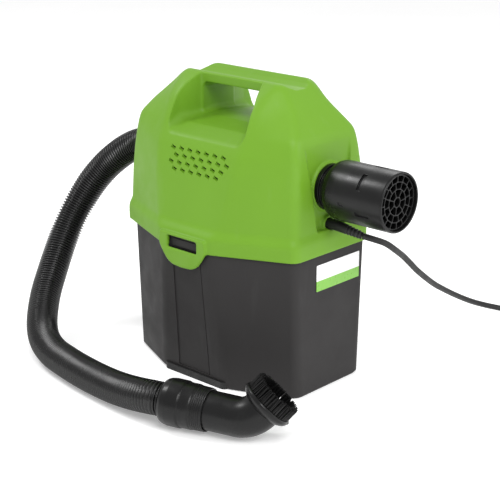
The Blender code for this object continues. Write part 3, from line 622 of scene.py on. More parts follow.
def carve(target: bpy.types.Object, steps: list[tuple[Cut, bpy.types.Object]]) -> bpy.types.Object:
    """Adds and removes tool solids in order, then deletes them.

    Args:
        target: the solid to shape.
        steps: pairs of operation and tool.

    Returns:
        The target.
    """
    for operation, tool in steps:
        modifier = target.modifiers.new(tool.name, "BOOLEAN")
        modifier.operation = operation.value
        modifier.solver = "MANIFOLD"
        modifier.object = tool
    settle(target)
    for _, tool in steps:
        bpy.data.objects.remove(tool, do_unlink=True)
    return target


def mould(obj: bpy.types.Object, voxel: float, passes: int, triangles: int) -> bpy.types.Object:
    """Rounds every edge as a moulding tool does.

    Args:
        obj: closed solid with sharp edges.
        voxel: size of the cells that it is rebuilt from.
        passes: rounds of smoothing.
        triangles: about how many triangles the result has.

    Returns:
        The same object with soft edges.
    """
    remesh = obj.modifiers.new("cells", "REMESH")
    remesh.mode = "VOXEL"
    remesh.voxel_size = voxel
    remesh.use_smooth_shade = True
    smooth = obj.modifiers.new("rounding", "SMOOTH")
    smooth.factor = 0.5
    smooth.iterations = passes
    settle(obj)
    thin = obj.modifiers.new("thinning", "DECIMATE")
    thin.ratio = min(1.0, triangles / (2 * len(obj.data.polygons)))
    settle(obj)
    obj.data.shade_smooth()
    return obj


def smooth_path(points: list[Point], spacing: float) -> list[Vector]:
    """Lays a smooth curve through a route.

    Args:
        points: the route.
        spacing: about how far apart the curve's points are.

    Returns:
        Points at even spacing, from the first of the route to its last.
    """
    fine = 24
    route = [Vector(p) for p in points]
    ends = [route[0] * 2 - route[1]] + route + [route[-1] * 2 - route[-2]]
    dense = []
    for a, b, c, d in zip(ends, ends[1:], ends[2:], ends[3:]):
        for k in range(fine):
            t = k / fine
            dense.append(0.5 * (2 * b + (c - a) * t + (2 * a - 5 * b + 4 * c - d) * t * t
                                + (3 * b - a - 3 * c + d) * t ** 3))
    dense.append(route[-1])
    total = sum((q - p).length for p, q in zip(dense, dense[1:]))
    count = max(2, round(total / spacing))
    wanted, travelled, result = 1, 0.0, [dense[0]]
    for p, q in zip(dense, dense[1:]):
        step = (q - p).length
        while wanted < count and travelled + step >= wanted * total / count:
            result.append(p.lerp(q, (wanted * total / count - travelled) / step))
            wanted += 1
        travelled += step
    result.append(dense[-1])
    return result


def sweep_rings(path: list[Vector], radii: list[float], sides: int) -> list[list[Point]]:
    """Draws rings round a path, carried along it without twist.

    Args:
        path: the path's points.
        radii: the rings' radii, one to a point.
        sides: points in each ring.

    Returns:
        The rings.
    """
    tangents = [(q - p).normalized() for p, q in zip(path, path[1:])]
    tangents = [tangents[0]] + [(a + b).normalized() for a, b in zip(tangents, tangents[1:])] + [tangents[-1]]
    across = tangents[0].orthogonal().normalized()
    rings = []
    for point, tangent, radius in zip(path, tangents, radii):
        across = (across - tangent * across.dot(tangent)).normalized()
        other = tangent.cross(across)
        turns = [2 * math.pi * k / sides for k in range(sides)]
        rings.append([tuple(point + (across * math.cos(a) + other * math.sin(a)) * radius) for a in turns])
    return rings


def dress(obj: bpy.types.Object, slot: Slot, body: str, *nodes: str) -> bpy.types.Object:
    """Gives a new piece its finish, its body and the CAD nodes that it stands for.

    Args:
        obj: the piece.
        slot: its finish.
        body: the body that carries it.
        nodes: names of the CAD nodes that it replaces.

    Returns:
        The same piece.
    """
    obj.data.materials.clear()
    obj.data.materials.append(DRY[slot])
    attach(obj, body)
    if nodes:
        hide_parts(*nodes)
    log.info("%s rides on %s", obj.name, body)
    return obj


# ---- the eight-cornered body --------------------------------------------------------------
@dataclass
class PlanForm:
    """Eight-cornered plan outline that changes with height.

    A section holds its height, the half-width and the distance of the front face, and the half-length and
    the half-width of the end face. The hose end is longer than the exhaust end by up to a stated length,
    which fades out towards the top.
    """

    sections: list[Section]
    longer: float = 0.0
    longer_over: float = 0.040
    front_corner: float = 0.035
    end_corner: float = 0.016

    def at(self, height: float) -> Section:
        """Finds the section at a height, between the listed ones.

        Args:
            height: where to cut the body.

        Returns:
            The section.
        """
        for low, high in zip(self.sections, self.sections[1:]):
            if height <= high[0]:
                t = max(0.0, (height - low[0]) / (high[0] - low[0]))
                return (height, *(a + (b - a) * t for a, b in zip(low[1:], high[1:])))
        return (height, *self.sections[-1][1:])

    def softly(self, height: float, reach: float) -> Section:
        """Returns the section with the creases round it eased over a reach of height."""
        near = [self.at(height + reach * k / 3) for k in range(-3, 4)]
        return (height, *(sum(s[i] for s in near) / len(near) for i in range(1, 5)))

    def ring(self, height: float, inset: float = 0.0, reach: float = 0.0, steps: int = 8) -> list[Point]:
        """Returns the outline at a height.

        Args:
            height: where to cut the body.
            inset: how far inside the surface the outline runs.
            reach: how far up and down creases are eased.
            steps: segments in each corner.

        Returns:
            Points all round.
        """
        _, front_half, front_y, end_x, end_half = self.softly(height, reach) if reach else self.at(height)
        slope = math.atan2(front_y - end_half, end_x - front_half)
        front_half -= inset * math.tan(slope / 2)
        end_half -= inset * math.tan((math.pi / 2 - slope) / 2)
        front_y -= inset
        end_x -= inset
        extra = self.longer * min(1.0, max(0.0, (TOP_Z - height) / self.longer_over))
        far_x, far_half = end_x + extra, end_half + extra / 3
        front, end = self.front_corner, self.end_corner
        corners = [(end_x, -end_half, end), (end_x, end_half, end), (front_half, front_y, front),
                   (-front_half, front_y, front), (-far_x, far_half, end), (-far_x, -far_half, end),
                   (-front_half, -front_y, front), (front_half, -front_y, front)]
        ring = []
        for i, (x, y, radius) in enumerate(corners):
            here = Vector((x, y))
            before = Vector(corners[i - 1][:2]) - here
            after = Vector(corners[(i + 1) % 8][:2]) - here
            turn = math.pi - before.angle(after)
            bend = min((radius - inset / 2) * math.tan(turn / 2), 0.42 * before.length, 0.42 * after.length)
            start, finish = here + before.normalized() * bend, here + after.normalized() * bend
            for k in range(steps + 1):
                t = k / steps
                point = start * (1 - t) ** 2 + here * 2 * t * (1 - t) + finish * t * t
                ring.append((point.x, point.y, height))
        return ring


def levels(low: float, high: float, step: float) -> list[float]:
    """Returns evenly spaced values from low to high, both included."""
    count = max(1, round((high - low) / step))
    return [low + (high - low) * k / count for k in range(count + 1)]


FRONT_AND_REAR = (("front", Matrix.Identity(4)), ("rear", Matrix.Rotation(math.pi, 4, "Z")))


@dataclass
class Tank:
    """Open dark tank with a sunk strip below each latch, foot seats and latch hooks."""

    wall: float = 0.0028
    top: float = 0.196
    band_z: Flat = (0.012, 0.178)
    hook_z: Flat = (0.181, 0.190)
    hook_y: float = 0.1134
    hook_half: Flat = (0.021, 0.0014)
    seat_corner: float = 0.0073
    strip_depth: float = 0.0012
    groove_depth: float = 0.0020
    left: Flat = (-0.0290, -0.0235)
    right: Flat = (0.0272, 0.0250)
    groove: Flat = (0.0250, 0.0230)
    form: PlanForm = field(default_factory=lambda: PlanForm([
        (0.0000, 0.0560, 0.0955, 0.1395, 0.0595),
        (0.0030, 0.0575, 0.0980, 0.1420, 0.0610),
        (0.1780, 0.0410, 0.1132, 0.1420, 0.0672),
        (0.1960, 0.0402, 0.1136, 0.1420, 0.0675),
    ]))

    def strip(self, name: str, turn: Matrix, left: Flat, right: Flat, deep: float) -> bpy.types.Object:
        """Returns the cutter of an upright band in the front facet.

        Args:
            name: the cutter's name.
            turn: front or rear.
            left: where its left side is at its foot and at its top.
            right: the same for its right side.
            deep: depth below the facet.

        Returns:
            The cutter.
        """
        rings = []
        for height, x0, x1 in zip(self.band_z, left, right):
            front = -self.form.at(height)[2]
            outer, inner = front - CLEAR, front + deep
            rings.append([tuple(turn @ Vector((x, y, height)))
                          for x, y in ((x0, outer), (x1, outer), (x1, inner), (x0, inner))])
        return skin(name, rings)

    def foot_seat(self, word: str, turn: Matrix) -> bpy.types.Object:
        """Returns the cutter of the seat that a foot bar sits in.

        Args:
            word: front or rear, for the cutter's name.
            turn: front or rear, as a matrix.

        Returns:
            The cutter.
        """
        low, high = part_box("front_foot")
        middle = -(low.y + high.y) / 2
        half_x, half_y = (high.x - low.x) / 2 + GAP, (high.y - low.y) / 2 + GAP
        outline = [(x, y - middle) for x, y in rounded(half_x, half_y, self.seat_corner)]
        return prism(f"foot_seat_{word}", outline, -CLEAR / 2, high.z + GAP, turn)

    def build(self) -> None:
        """Builds the tank, its feet and its label."""
        heights = [0.0, 0.0008, 0.0018, 0.003] + levels(0.006, self.top, 0.008)
        tank = skin("tank_shell", [self.form.ring(z) for z in heights])
        depths = [self.wall, 0.0045] + levels(0.010, 0.205, 0.012)
        inside = skin("inside", [self.form.ring(z, self.wall) for z in depths])
        steps = [(Cut.REMOVE, inside)]
        for word, turn in FRONT_AND_REAR:
            hook = prism(f"hook_{word}", rounded(*self.hook_half, 0.0006, 2), *self.hook_z,
                         turn @ Matrix.Translation((0, -self.hook_y, 0)))
            strip = self.strip(f"strip_{word}", turn, self.left, self.right, self.strip_depth)
            groove = self.strip(f"groove_{word}", turn, self.groove, self.right, self.groove_depth)
            steps += [(Cut.REMOVE, strip), (Cut.REMOVE, groove), (Cut.ADD, hook),
                      (Cut.REMOVE, self.foot_seat(word, turn))]
        carve(tank, steps)
        soften_edges(tank, 0.0006)
        dress(tank, Slot.SMOKE, "tank", "tank")
        for node in ("front_foot", "rear_foot"):
            bevel_node(node, Slot.RUBBER, 0.0012)
        self.label()

    def label(self) -> None:
        """Builds the film on the exhaust end of the tank."""
        low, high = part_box("tank_label")
        middle = (low + high) / 2
        place = Matrix(((0, 0, 1, 0), (1, 0, 0, middle.y), (0, 1, 0, middle.z), (0, 0, 0, 1)))
        outline = rounded((high.y - low.y) / 2, (high.z - low.z) / 2, 0.0012, 5)
        film = prism("label_piece", outline, low.x, high.x, place)
        dress(film, Slot.LABEL, "tank", "tank_label")


@dataclass
class Head:
    """Green head shell with skirt, latch tabs, hand opening, vents, ports and handle ridges."""

    wall: float = 0.003
    pocket_x: float = 0.1335
    longer: float = 0.006
    bar_under: float = 0.372
    grip_floor: float = 0.333
    grip_half: float = 0.050
    grip_shift: float = 0.0025
    tab_y: float = 0.1205
    vent_pitch: float = 0.0144
    vent_row: float = 0.0085
    vent_top: float = 0.2990
    vent_slant: float = 20.0
    vent_columns: tuple[int, ...] = (7, 7, 7, 6)
    top_round: float = 0.005
    crease_reach: float = 0.0035
    cavity_top: float = 0.3565
    lip_radius: float = 0.0305
    port_bore: float = 0.0266
    gland_bore: float = 0.0072
    form: PlanForm = field(default_factory=lambda: PlanForm([
        (0.1810, 0.0410, 0.1175, 0.1455, 0.0700),
        (0.1995, 0.0430, 0.1165, 0.1455, 0.0700),
        (0.2040, 0.0460, 0.1140, 0.1448, 0.0690),
        (0.2095, 0.0520, 0.1080, 0.1418, 0.0668),
        (0.2530, 0.0620, 0.1000, 0.1405, 0.0650),
        (0.2810, 0.0660, 0.0950, 0.1385, 0.0630),
        (0.3030, 0.0690, 0.0890, 0.1360, 0.0610),
        (0.3180, 0.0700, 0.0815, 0.1335, 0.0595),
        (0.3270, 0.0700, 0.0780, 0.1310, 0.0575),
        (0.3420, 0.0700, 0.0720, 0.1205, 0.0460),
        (0.3565, 0.0710, 0.0650, 0.1090, 0.0350),
        (0.3700, 0.0740, 0.0530, 0.0960, 0.0300),
        (0.3800, 0.0770, 0.0390, 0.0870, 0.0280),
        (0.3850, 0.0770, 0.0300, 0.0810, 0.0250),
    ], 0.006))

    def grip(self, name: str, margin: float) -> bpy.types.Object:
        """Returns the hand opening, which runs through the head and flares at both faces.

        Args:
            name: the cutter's name.
            margin: how much larger than the opening it is on every side.

        Returns:
            The cutter.
        """
        half, floor, under = self.grip_half, self.grip_floor, self.bar_under
        stations = [(0.0000, half, floor, under - 0.001, 0.008),
                    (0.0285, half + 0.001, floor - 0.0015, under, 0.008),
                    (0.0310, half + 0.003, floor - 0.0020, under + 0.020, 0.008),
                    (0.0600, half + 0.014, floor - 0.007, under + 0.024, 0.012),
                    (0.0800, half + 0.0155, floor - 0.017, under + 0.024, 0.012),
                    (0.0950, half + 0.017, floor - 0.028, under + 0.024, 0.012)]
        ordered = [(-y, *rest) for y, *rest in reversed(stations[1:])] + stations
        rings = []
        for y, wide, low, high, corner in ordered:
            outline = rounded(wide + margin, (high - low) / 2 + margin, corner, 8)
            middle = self.grip_shift * min(1.0, abs(y) / stations[3][0])
            rings.append([(x + middle, y, z + (high + low) / 2) for x, z in outline])
        return skin(name, rings)

    def pocket(self, name: str, side: int, margin: float) -> bpy.types.Object:
        """Returns the wedge-shaped pocket in one end, wider towards the top.

        Args:
            name: the cutter's name.
            side: 1 for the exhaust end and -1 for the hose end.
            margin: how much larger than the pocket it is on every side.

        Returns:
            The cutter.
        """
        low_half, top_half, low, top = 0.026 + margin, 0.047 + margin, 0.2110 - margin, 0.338 + margin
        outline = [(-low_half, low), (low_half, low), (top_half, top), (-top_half, top)]
        floor = self.pocket_floor(side) - margin
        return skin(name, [[(side * x, y, z) for y, z in outline] for x in (floor, 0.170)])

    def heights(self) -> list[float]:
        """Returns the heights of the shell's outlines, close together round the top edge."""
        return levels(RIM_Z, TOP_Z - self.top_round, 0.003) + levels(TOP_Z - self.top_round, TOP_Z, 0.001)[1:]

    def easing(self, height: float) -> float:
        """Returns how far the rounded top edge draws the outline in at a height."""
        rise = max(0.0, height - TOP_Z + self.top_round)
        return self.top_round - math.sqrt(self.top_round ** 2 - rise ** 2)

    def pocket_floor(self, side: int) -> float:
        """Returns the distance of a pocket's floor from the middle."""
        return self.pocket_x + (self.longer if side < 0 else 0.0)

    def tab(self, word: str, turn: Matrix) -> bpy.types.Object:
        """Builds the plate of a latch tab: a wide lobe with a round lower edge.

        Args:
            word: front or rear, for the plate's name.
            turn: front or rear, as a matrix.

        Returns:
            The plate.
        """
        right = [(0.0400, 0.1985), (0.0410, 0.1860), (0.0395, 0.1795), (0.0330, 0.1700), (0.0260, 0.1618),
                 (0.0175, 0.1575), (0.0090, 0.1562)]
        outline = right + [(-x, z) for x, z in reversed(right)]
        upright = turn @ Matrix.Rotation(math.pi / 2, 4, "X")
        return prism(f"tab_{word}", softened([(x + 1, z) for x, z in outline], 0.004), 0.1166, self.tab_y,
                     upright @ Matrix.Translation((-1, 0, 0)))

    def vents(self, name: str, wide: float, tall: float, deep: float) -> bpy.types.Object:
        """Returns four staggered rows of small slanted slots.

        Args:
            name: the cutter's name.
            wide: length of each slot.
            tall: width of each slot.
            deep: how far the slots go below the surface.

        Returns:
            The cutter.
        """
        middle = 0.005
        slant = Matrix.Rotation(math.radians(self.vent_slant), 4, "Y")
        size = Matrix.Diagonal((wide, 2 * CLEAR, tall, 1))
        bm = bmesh.new()
        for row, columns in enumerate(self.vent_columns):
            height = self.vent_top - row * self.vent_row
            face = self.form.softly(height, self.crease_reach)[2]
            for column in range(columns):
                x = middle + (column - 3) * self.vent_pitch + (self.vent_pitch / 4) * (1 if row % 2 else -1)
                place = Matrix.Translation((x, deep - face - CLEAR, height)) @ slant @ size
                bmesh.ops.create_cube(bm, size=1.0, matrix=place)
        return add_mesh(name, bm)

    def build(self) -> None:
        """Builds the head shell."""
        shell = skin("head_shell",
                     [self.form.ring(z, self.easing(z), self.crease_reach) for z in self.heights()])
        steps = []
        for word, turn in FRONT_AND_REAR:
            steps.append((Cut.ADD, self.tab(word, turn)))
        for side, word in ((1, "exhaust"), (-1, "inlet")):
            place = frame_along((0, 0, PORT_Z), (side, 0, 0))
            floor = self.pocket_floor(side)
            steps += [(Cut.REMOVE, self.pocket(f"pocket_{word}", side, 0.0)),
                      (Cut.ADD, rod(f"lip_{word}", self.lip_radius, floor - 0.002, floor + 0.0035, place)),
                      (Cut.REMOVE, rod(f"port_{word}", self.port_bore, 0.10, 0.17, place))]
        gland = frame_along((0, 0, GLAND_Z), (1, 0, 0))
        low, high = self.pocket_x - 0.002, self.pocket_x + 0.005
        boss = lathe("boss", [(0, low), (0.0115, low), (0.0105, high), (0, high)], gland, 32)
        steps += [(Cut.ADD, boss), (Cut.REMOVE, rod("gland", self.gland_bore, 0.10, 0.16, gland, 32))]
        inner_heights = levels(RIM_Z - CLEAR, self.cavity_top, 0.006)
        cavity = skin("cavity", [self.form.ring(z, self.wall - 0.0002) for z in inner_heights])
        carve(cavity, [(Cut.REMOVE, self.grip("grip_wall", self.wall)),
                       (Cut.REMOVE, self.pocket("wall_exhaust", 1, self.wall)),
                       (Cut.REMOVE, self.pocket("wall_inlet", -1, self.wall))])
        steps += [(Cut.REMOVE, cavity), (Cut.REMOVE, self.grip("grip_opening", 0.0)),
                  (Cut.REMOVE, self.valley())]
        for word, turn in FRONT_AND_REAR:
            slot = prism(f"slot_{word}", rounded(0.0255, 0.0070, 0.0004, 1), 0.1790, 0.1945,
                         turn @ Matrix.Translation((0, -0.118, 0)))
            steps.append((Cut.REMOVE, slot))
        seat = prism("switch_seat", rounded(0.0163, 0.0118, 0.002, 3), -0.0200, 0.0200, Switch.place())
        steps.append((Cut.REMOVE, seat))
        carve(shell, steps)
        mould(shell, 0.0011, 9, 120000)
        carve(shell, [(Cut.REMOVE, self.vents("vent_seats", 0.0078, 0.0043, 0.0017)),
                      (Cut.REMOVE, self.vents("vent_slits", 0.0056, 0.0019, 0.0100))])
        shell.data.shade_smooth()
        shell.data.set_sharp_from_angle(angle=math.radians(50))
        dress(shell, Slot.GREEN, "head", "head_housing")

    def valley(self) -> bpy.types.Object:
        """Returns the cutter of the valley between the two ridges of the handle.

        Returns:
            The cutter, as long as the head.
        """
        shape = [(-0.024, 0.0), (-0.018, -0.0045), (-0.008, -0.0085), (0.008, -0.0085), (0.018, -0.0045),
                 (0.024, 0.0), (0.024, 0.010), (-0.024, 0.010)]
        return skin("valley", [[(x, y, TOP_Z + z) for y, z in shape] for x in (-0.13, 0.13)])


def soften_edges(obj: bpy.types.Object, width: float) -> None:
    """Rounds the sharp edges of an object by a small bevel.

    Args:
        obj: the object.
        width: size of the rounding.
    """
    corner = math.radians(40)
    bevel = obj.modifiers.new("edges", "BEVEL")
    bevel.width = width
    bevel.segments = 2
    bevel.limit_method = "ANGLE"
    bevel.angle_limit = corner
    obj.data.shade_smooth()
    obj.data.set_sharp_from_angle(angle=corner)


def bevel_node(node: str, slot: Slot, width: float) -> None:
    """Keeps a CAD node's shape and gives it a finish and rounded edges.

    Args:
        node: the CAD node's name.
        slot: the finish.
        width: size of the rounding.
    """
    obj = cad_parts[node]
    obj.data.materials.clear()
    obj.data.materials.append(DRY[slot])
    soften_edges(obj, width)
    log.info("%s keeps its shape", node)


class Switch:
    """Rocker switch in the sloping shoulder at the hose end."""

    @staticmethod
    def place() -> Matrix:
        """Returns the switch's placing matrix.

        Returns:
            The matrix, with local X up the slope and local Z out of the wall.
        """
        normal = Vector((-0.79, 0.0, 0.61)).normalized()
        along = Vector((0, 1, 0)).cross(normal).normalized()
        matrix = Matrix((along, normal.cross(along), normal)).transposed().to_4x4()
        matrix.translation = Vector((-0.1175, -0.0190, 0.3475))
        return matrix

    def build(self) -> None:
        """Dresses the frame and the rocker."""
        bevel_node("switch_frame", Slot.BLACK, 0.0006)
        bevel_node("switch_rocker", Slot.BLACK, 0.0007)


@dataclass
class Exhaust:
    """Neck, slotted barrel and pierced disc at the exhaust end.

    A row of the disc's cells holds their number, their inner and outer radius, and how far round it starts,
    as a part of a cell.
    """

    start: float = 0.1500
    end: float = 0.2440
    radius: float = 0.0370
    slot_floor: float = 0.0346
    recess_floor: float = 0.0352
    notch_floor: float = 0.0358
    cutter_radius: float = 0.0385
    disc: Flat = (0.2350, 0.2400)
    disc_radius: float = 0.0337
    hub_bore: float = 0.0052
    web: float = 0.0007
    cell_rows: tuple[tuple[int, float, float, float], ...] = (
        (16, 0.0252, 0.0318, 0.0), (12, 0.0166, 0.0238, 0.3), (7, 0.0068, 0.0152, 0.1),
    )

    def place(self) -> Matrix:
        """Returns the matrix from the turning axis to the exhaust end."""
        return frame_along((0, 0, PORT_Z), (1, 0, 0))

    def arc(self, name: str, first: float, last: float, low: float, high: float,
            deep: float) -> bpy.types.Object:
        """Returns a block that follows the barrel's wall.

        Args:
            name: the block's name.
            first: angle where it starts, in degrees from the top towards the front.
            last: angle where it ends.
            low: distance along the axis where it starts.
            high: distance along the axis where it ends.
            deep: radius of its inner face.

        Returns:
            The block.
        """
        outer = self.cutter_radius
        rings = []
        for degrees in levels(first, last, 4.0):
            a = math.radians(degrees)
            rings.append([(x, -r * math.sin(a), PORT_Z + r * math.cos(a))
                          for x, r in ((low, deep), (high, deep), (high, outer), (low, outer))])
        return skin(name, rings)

    def slots(self) -> list[tuple[Cut, bpy.types.Object]]:
        """Returns the cutters for the slots, recesses and notches in the barrel's wall.

        Returns:
            Pairs of operation and cutter.
        """
        steps = []
        for turn in (0, 120, 240):
            slot = self.arc(f"slot_{turn}", 31 + turn, 66 + turn, 0.2040, 0.2105, self.slot_floor)
            recess = self.arc(f"recess_{turn}", turn - 12, turn - 3, 0.2040, 0.2240, self.recess_floor)
            notch = self.arc(f"notch_{turn}", 96 + turn, 102 + turn, 0.1800, 0.1880, self.notch_floor)
            steps += [(Cut.REMOVE, cutter) for cutter in (slot, recess, notch)]
        return steps

    def barrel(self) -> None:
        """Builds the barrel."""
        start, end, radius = self.start, self.end, self.radius
        outline = [(0.0266, start), (0.0300, start), (0.0352, start + 0.0045), (radius, start + 0.0100),
                   (radius, end - 0.0020), (radius - 0.001, end), (0.0340, end), (0.0340, start + 0.0105),
                   (0.0266, start + 0.0045)]
        barrel = lathe("barrel_shell", outline, self.place(), 160, 0.0012)
        carve(barrel, self.slots())
        soften_edges(barrel, 0.0003)
        dress(barrel, Slot.BLACK, "barrel", "exhaust_barrel")

    def grille(self) -> None:
        """Builds the pierced disc with its rings of rounded cells."""
        place = self.place()
        disc = rod("grille_disc", self.disc_radius, *self.disc, place, 96)
        steps = [(Cut.REMOVE, rod("hub_hole", self.hub_bore, 0.23, 0.25, place, 24))]
        for count, inner, outer, phase in self.cell_rows:
            for k in range(count):
                cell = self.cell(f"cell_{count}_{k}", 360 * (k + phase) / count, 360 / count, inner, outer)
                steps.append((Cut.REMOVE, cell))
        carve(disc, steps)
        mould(disc, 0.0005, 4, 30000)
        dress(disc, Slot.BLACK, "barrel", "exhaust_grille")

    def cell(self, name: str, start: float, turn: float, inner: float, outer: float) -> bpy.types.Object:
        """Returns the cutter of one round-cornered cell of the disc.

        Args:
            name: the cutter's name.
            start: angle of the cell's first side in degrees.
            turn: angle from one cell to the next.
            inner: radius of its inner side.
            outer: radius of its outer side.

        Returns:
            The cutter.
        """
        outline = []
        for radius, way in ((inner, 1), (outer, -1)):
            edge = math.degrees(self.web / radius)
            angles = [math.radians(a) for a in levels(start + edge, start + turn - edge, 8.0)]
            outline += [(radius * math.cos(a), radius * math.sin(a)) for a in angles[::way]]
        return prism(name, softened([(x + 1, y) for x, y in outline], 0.0012), 0.23, 0.25,
                     self.place() @ Matrix.Translation((-1, 0, 0)))

    def neck(self) -> None:
        """Builds the neck that the barrel turns on."""
        outline = [(0.0263, 0.1180), (0.0263, 0.1372), (0.0290, 0.1372), (0.0290, 0.1430), (0.0262, 0.1430),
                   (0.0262, 0.1620), (0.0232, 0.1620), (0.0232, 0.1180)]
        dress(lathe("neck_ring", outline, self.place(), 96, 0.0006), Slot.BLACK, "head", "exhaust_neck")

    def build(self) -> None:
        """Builds the whole exhaust end."""
        self.barrel()
        self.grille()
        self.neck()


@dataclass
class Hose:
    """Corrugated suction hose with its end cuff, the hand cuff, the elbow and the round brush."""

    pitch: float = 0.0040
    depth: float = 0.0028
    rib: tuple[float, ...] = (0.0, 0.10, 0.85, 1.0, 0.85, 0.10)
    sides: int = 40
    start: Vector = field(default_factory=lambda: Vector((0.0698, -0.2174, 0.0305)))
    heading: Vector = field(default_factory=lambda: Vector((0.9437, 0.3284, -0.0412)).normalized())
    brush_heading: Vector = field(default_factory=lambda: Vector((0.4600, 0.5320, 0.7110)).normalized())
    straight: float = 0.093
    bend_radius: float = 0.034
    elbow_r: float = 0.0240
    elbow_wall: float = 0.0024
    collar_height: float = 0.0125
    lug_angles: Point = (20, 140, 260)
    tuft_rows: tuple[tuple[float, int], ...] = ((0.0300, 46), (0.0279, 42), (0.0258, 38))
    hairs: int = 8
    hair_foot: float = 0.00060
    hair_tip: float = 0.00042
    route: list[Point] = field(default_factory=lambda: [
        (-0.1790, 0.0000, 0.2630), (-0.1950, 0.0000, 0.2628), (-0.2110, -0.0030, 0.2570),
        (-0.2300, -0.0085, 0.2450), (-0.2530, -0.0160, 0.2250), (-0.2700, -0.0270, 0.2020),
        (-0.2810, -0.0390, 0.1780), (-0.2870, -0.0530, 0.1540), (-0.2875, -0.0690, 0.1300),
        (-0.2830, -0.0870, 0.1060), (-0.2740, -0.1070, 0.0840), (-0.2605, -0.1300, 0.0630),
        (-0.2420, -0.1520, 0.0450), (-0.2200, -0.1715, 0.0320), (-0.1930, -0.1880, 0.0245),
        (-0.1600, -0.2010, 0.0216), (-0.1250, -0.2090, 0.0213), (-0.0900, -0.2150, 0.0213),
        (-0.0550, -0.2190, 0.0214), (-0.0200, -0.2222, 0.0227), (0.0100, -0.2240, 0.0254),
        (0.0360, -0.2244, 0.0288), (0.0545, -0.2225, 0.0308), (0.0689, -0.2177, 0.0305),
        (0.0830, -0.2128, 0.0299), (0.0967, -0.2080, 0.0293),
    ])
    centre_line: list[Vector] = field(default_factory=list, init=False)

    def hose(self) -> bpy.types.Object:
        """Builds the ribbed hose as one closed tube and keeps its centreline.

        Returns:
            The tube.
        """
        path = smooth_path(self.route, self.pitch / len(self.rib))
        radii = [HOSE_R - self.depth * self.rib[k % len(self.rib)] for k in range(len(path))]
        tube = skin("hose_ribs", sweep_rings(path, radii, self.sides), sharp=179)
        self.centre_line = path[:: len(self.rib)] + path[-1:]
        return dress(tube, Slot.HOSE, "head", "suction_hose")

    def cuffs(self) -> list[bpy.types.Object]:
        """Builds the cuff at the head and the cuff that the hand holds.

        Returns:
            Both cuffs.
        """
        minus_x = frame_along((0, 0, PORT_Z), (-1, 0, 0))
        ribbed = [(0.0232, 0.1280), (0.0232, 0.1563), (0.0262, 0.1563)]
        for k in range(4):
            low = 0.1585 + 0.0032 * k
            ribbed += [(0.0265, low), (0.0265, low + 0.0014), (0.0256, low + 0.0019), (0.0256, low + 0.0027)]
        ribbed += [(0.0240, 0.1780), (0.0185, 0.1780), (0.0185, 0.1280)]
        head_cuff = dress(lathe("cuff_at_head", ribbed, minus_x, 72, 0.0005), Slot.BLACK, "head", "hose_cuff")
        outline = [(0.0214, GAP), (0.0262, GAP), (0.0280, 0.0040), (0.0290, 0.0100), (0.0290, 0.0250),
                   (0.0284, 0.0268), (0.0277, 0.0272), (0.0278, 0.0400), (0.0272, 0.0412)]
        for k in range(6):
            low = 0.0420 + 0.0026 * k
            radius = 0.0270 - 0.0001 * k
            outline += [(radius, low), (radius, low + 0.0013), (radius - 0.0006, low + 0.0016),
                        (radius - 0.0006, low + 0.0023)]
        inner = self.elbow_r + GAP
        outline += [(0.0262, 0.0580), (inner, 0.0580), (inner, 0.0296), (0.0214, 0.0296)]
        place = frame_along(self.start, self.heading)
        hand = dress(lathe("cuff_for_hand", outline, place, 96, 0.0005), Slot.BLACK, "head", "hand_cuff")
        return [head_cuff, hand]

    def bend(self) -> list[Vector]:
        """Draws the elbow's curve.

        Returns:
            Its points.
        """
        origin = self.start + self.heading * self.straight
        angle = self.heading.angle(self.brush_heading)
        inward = (self.brush_heading - self.heading * math.cos(angle)).normalized()
        steps = 20
        return [origin + self.heading * self.bend_radius * math.sin(angle * k / steps)
                + inward * self.bend_radius * (1 - math.cos(angle * k / steps)) for k in range(steps + 1)]

    def elbow(self) -> bpy.types.Object:
        """Builds the hollow elbow, from inside the hand cuff to inside the collar.

        Returns:
            The elbow.
        """
        curve = self.bend()
        path = [self.start + self.heading * s for s in levels(0.0306, self.straight - 0.003, 0.003)] + curve
        path += [curve[-1] + self.brush_heading * s for s in (0.004, 0.008, self.collar_height)]
        rings = sweep_rings(path, [self.elbow_r] * len(path), 56)
        inner = sweep_rings(path, [self.elbow_r - self.elbow_wall] * len(path), 56)
        piece = skin("elbow_pipe", rings + inner[::-1], endless=True, sharp=50)
        return dress(piece, Slot.BLACK, "elbow", "nozzle_elbow")

    def brush(self) -> list[bpy.types.Object]:
        """Builds the collar and its tufts of bristles.

        Returns:
            The collar and the tufts.
        """
        place = frame_along(self.bend()[-1], self.brush_heading)
        top = self.collar_height
        inner = self.elbow_r + GAP
        outline = [(inner, 0.0010), (0.0256, 0.0010), (0.0284, 0.0030), (0.0312, 0.0052), (0.0324, 0.0070),
                   (0.0330, 0.0085), (0.0330, top - 0.0018), (0.0321, top), (inner, top)]
        collar = lathe("collar_ring", outline, place, 96, 0.0006)
        lugs = bmesh.new()
        for angle in self.lug_angles:
            turn = Matrix.Rotation(math.radians(angle), 4, "Z")
            size = Matrix.Diagonal((0.0030, 0.0090, 0.0032, 1))
            matrix = place @ turn @ Matrix.Translation((0.0320, 0, 0.0100)) @ size
            bmesh.ops.create_cube(lugs, size=1.0, matrix=matrix)
        carve(collar, [(Cut.ADD, add_mesh("lugs", lugs))])
        dress(collar, Slot.BLACK, "brush", "brush_collar")
        return [collar, self.bristles(place, top)]

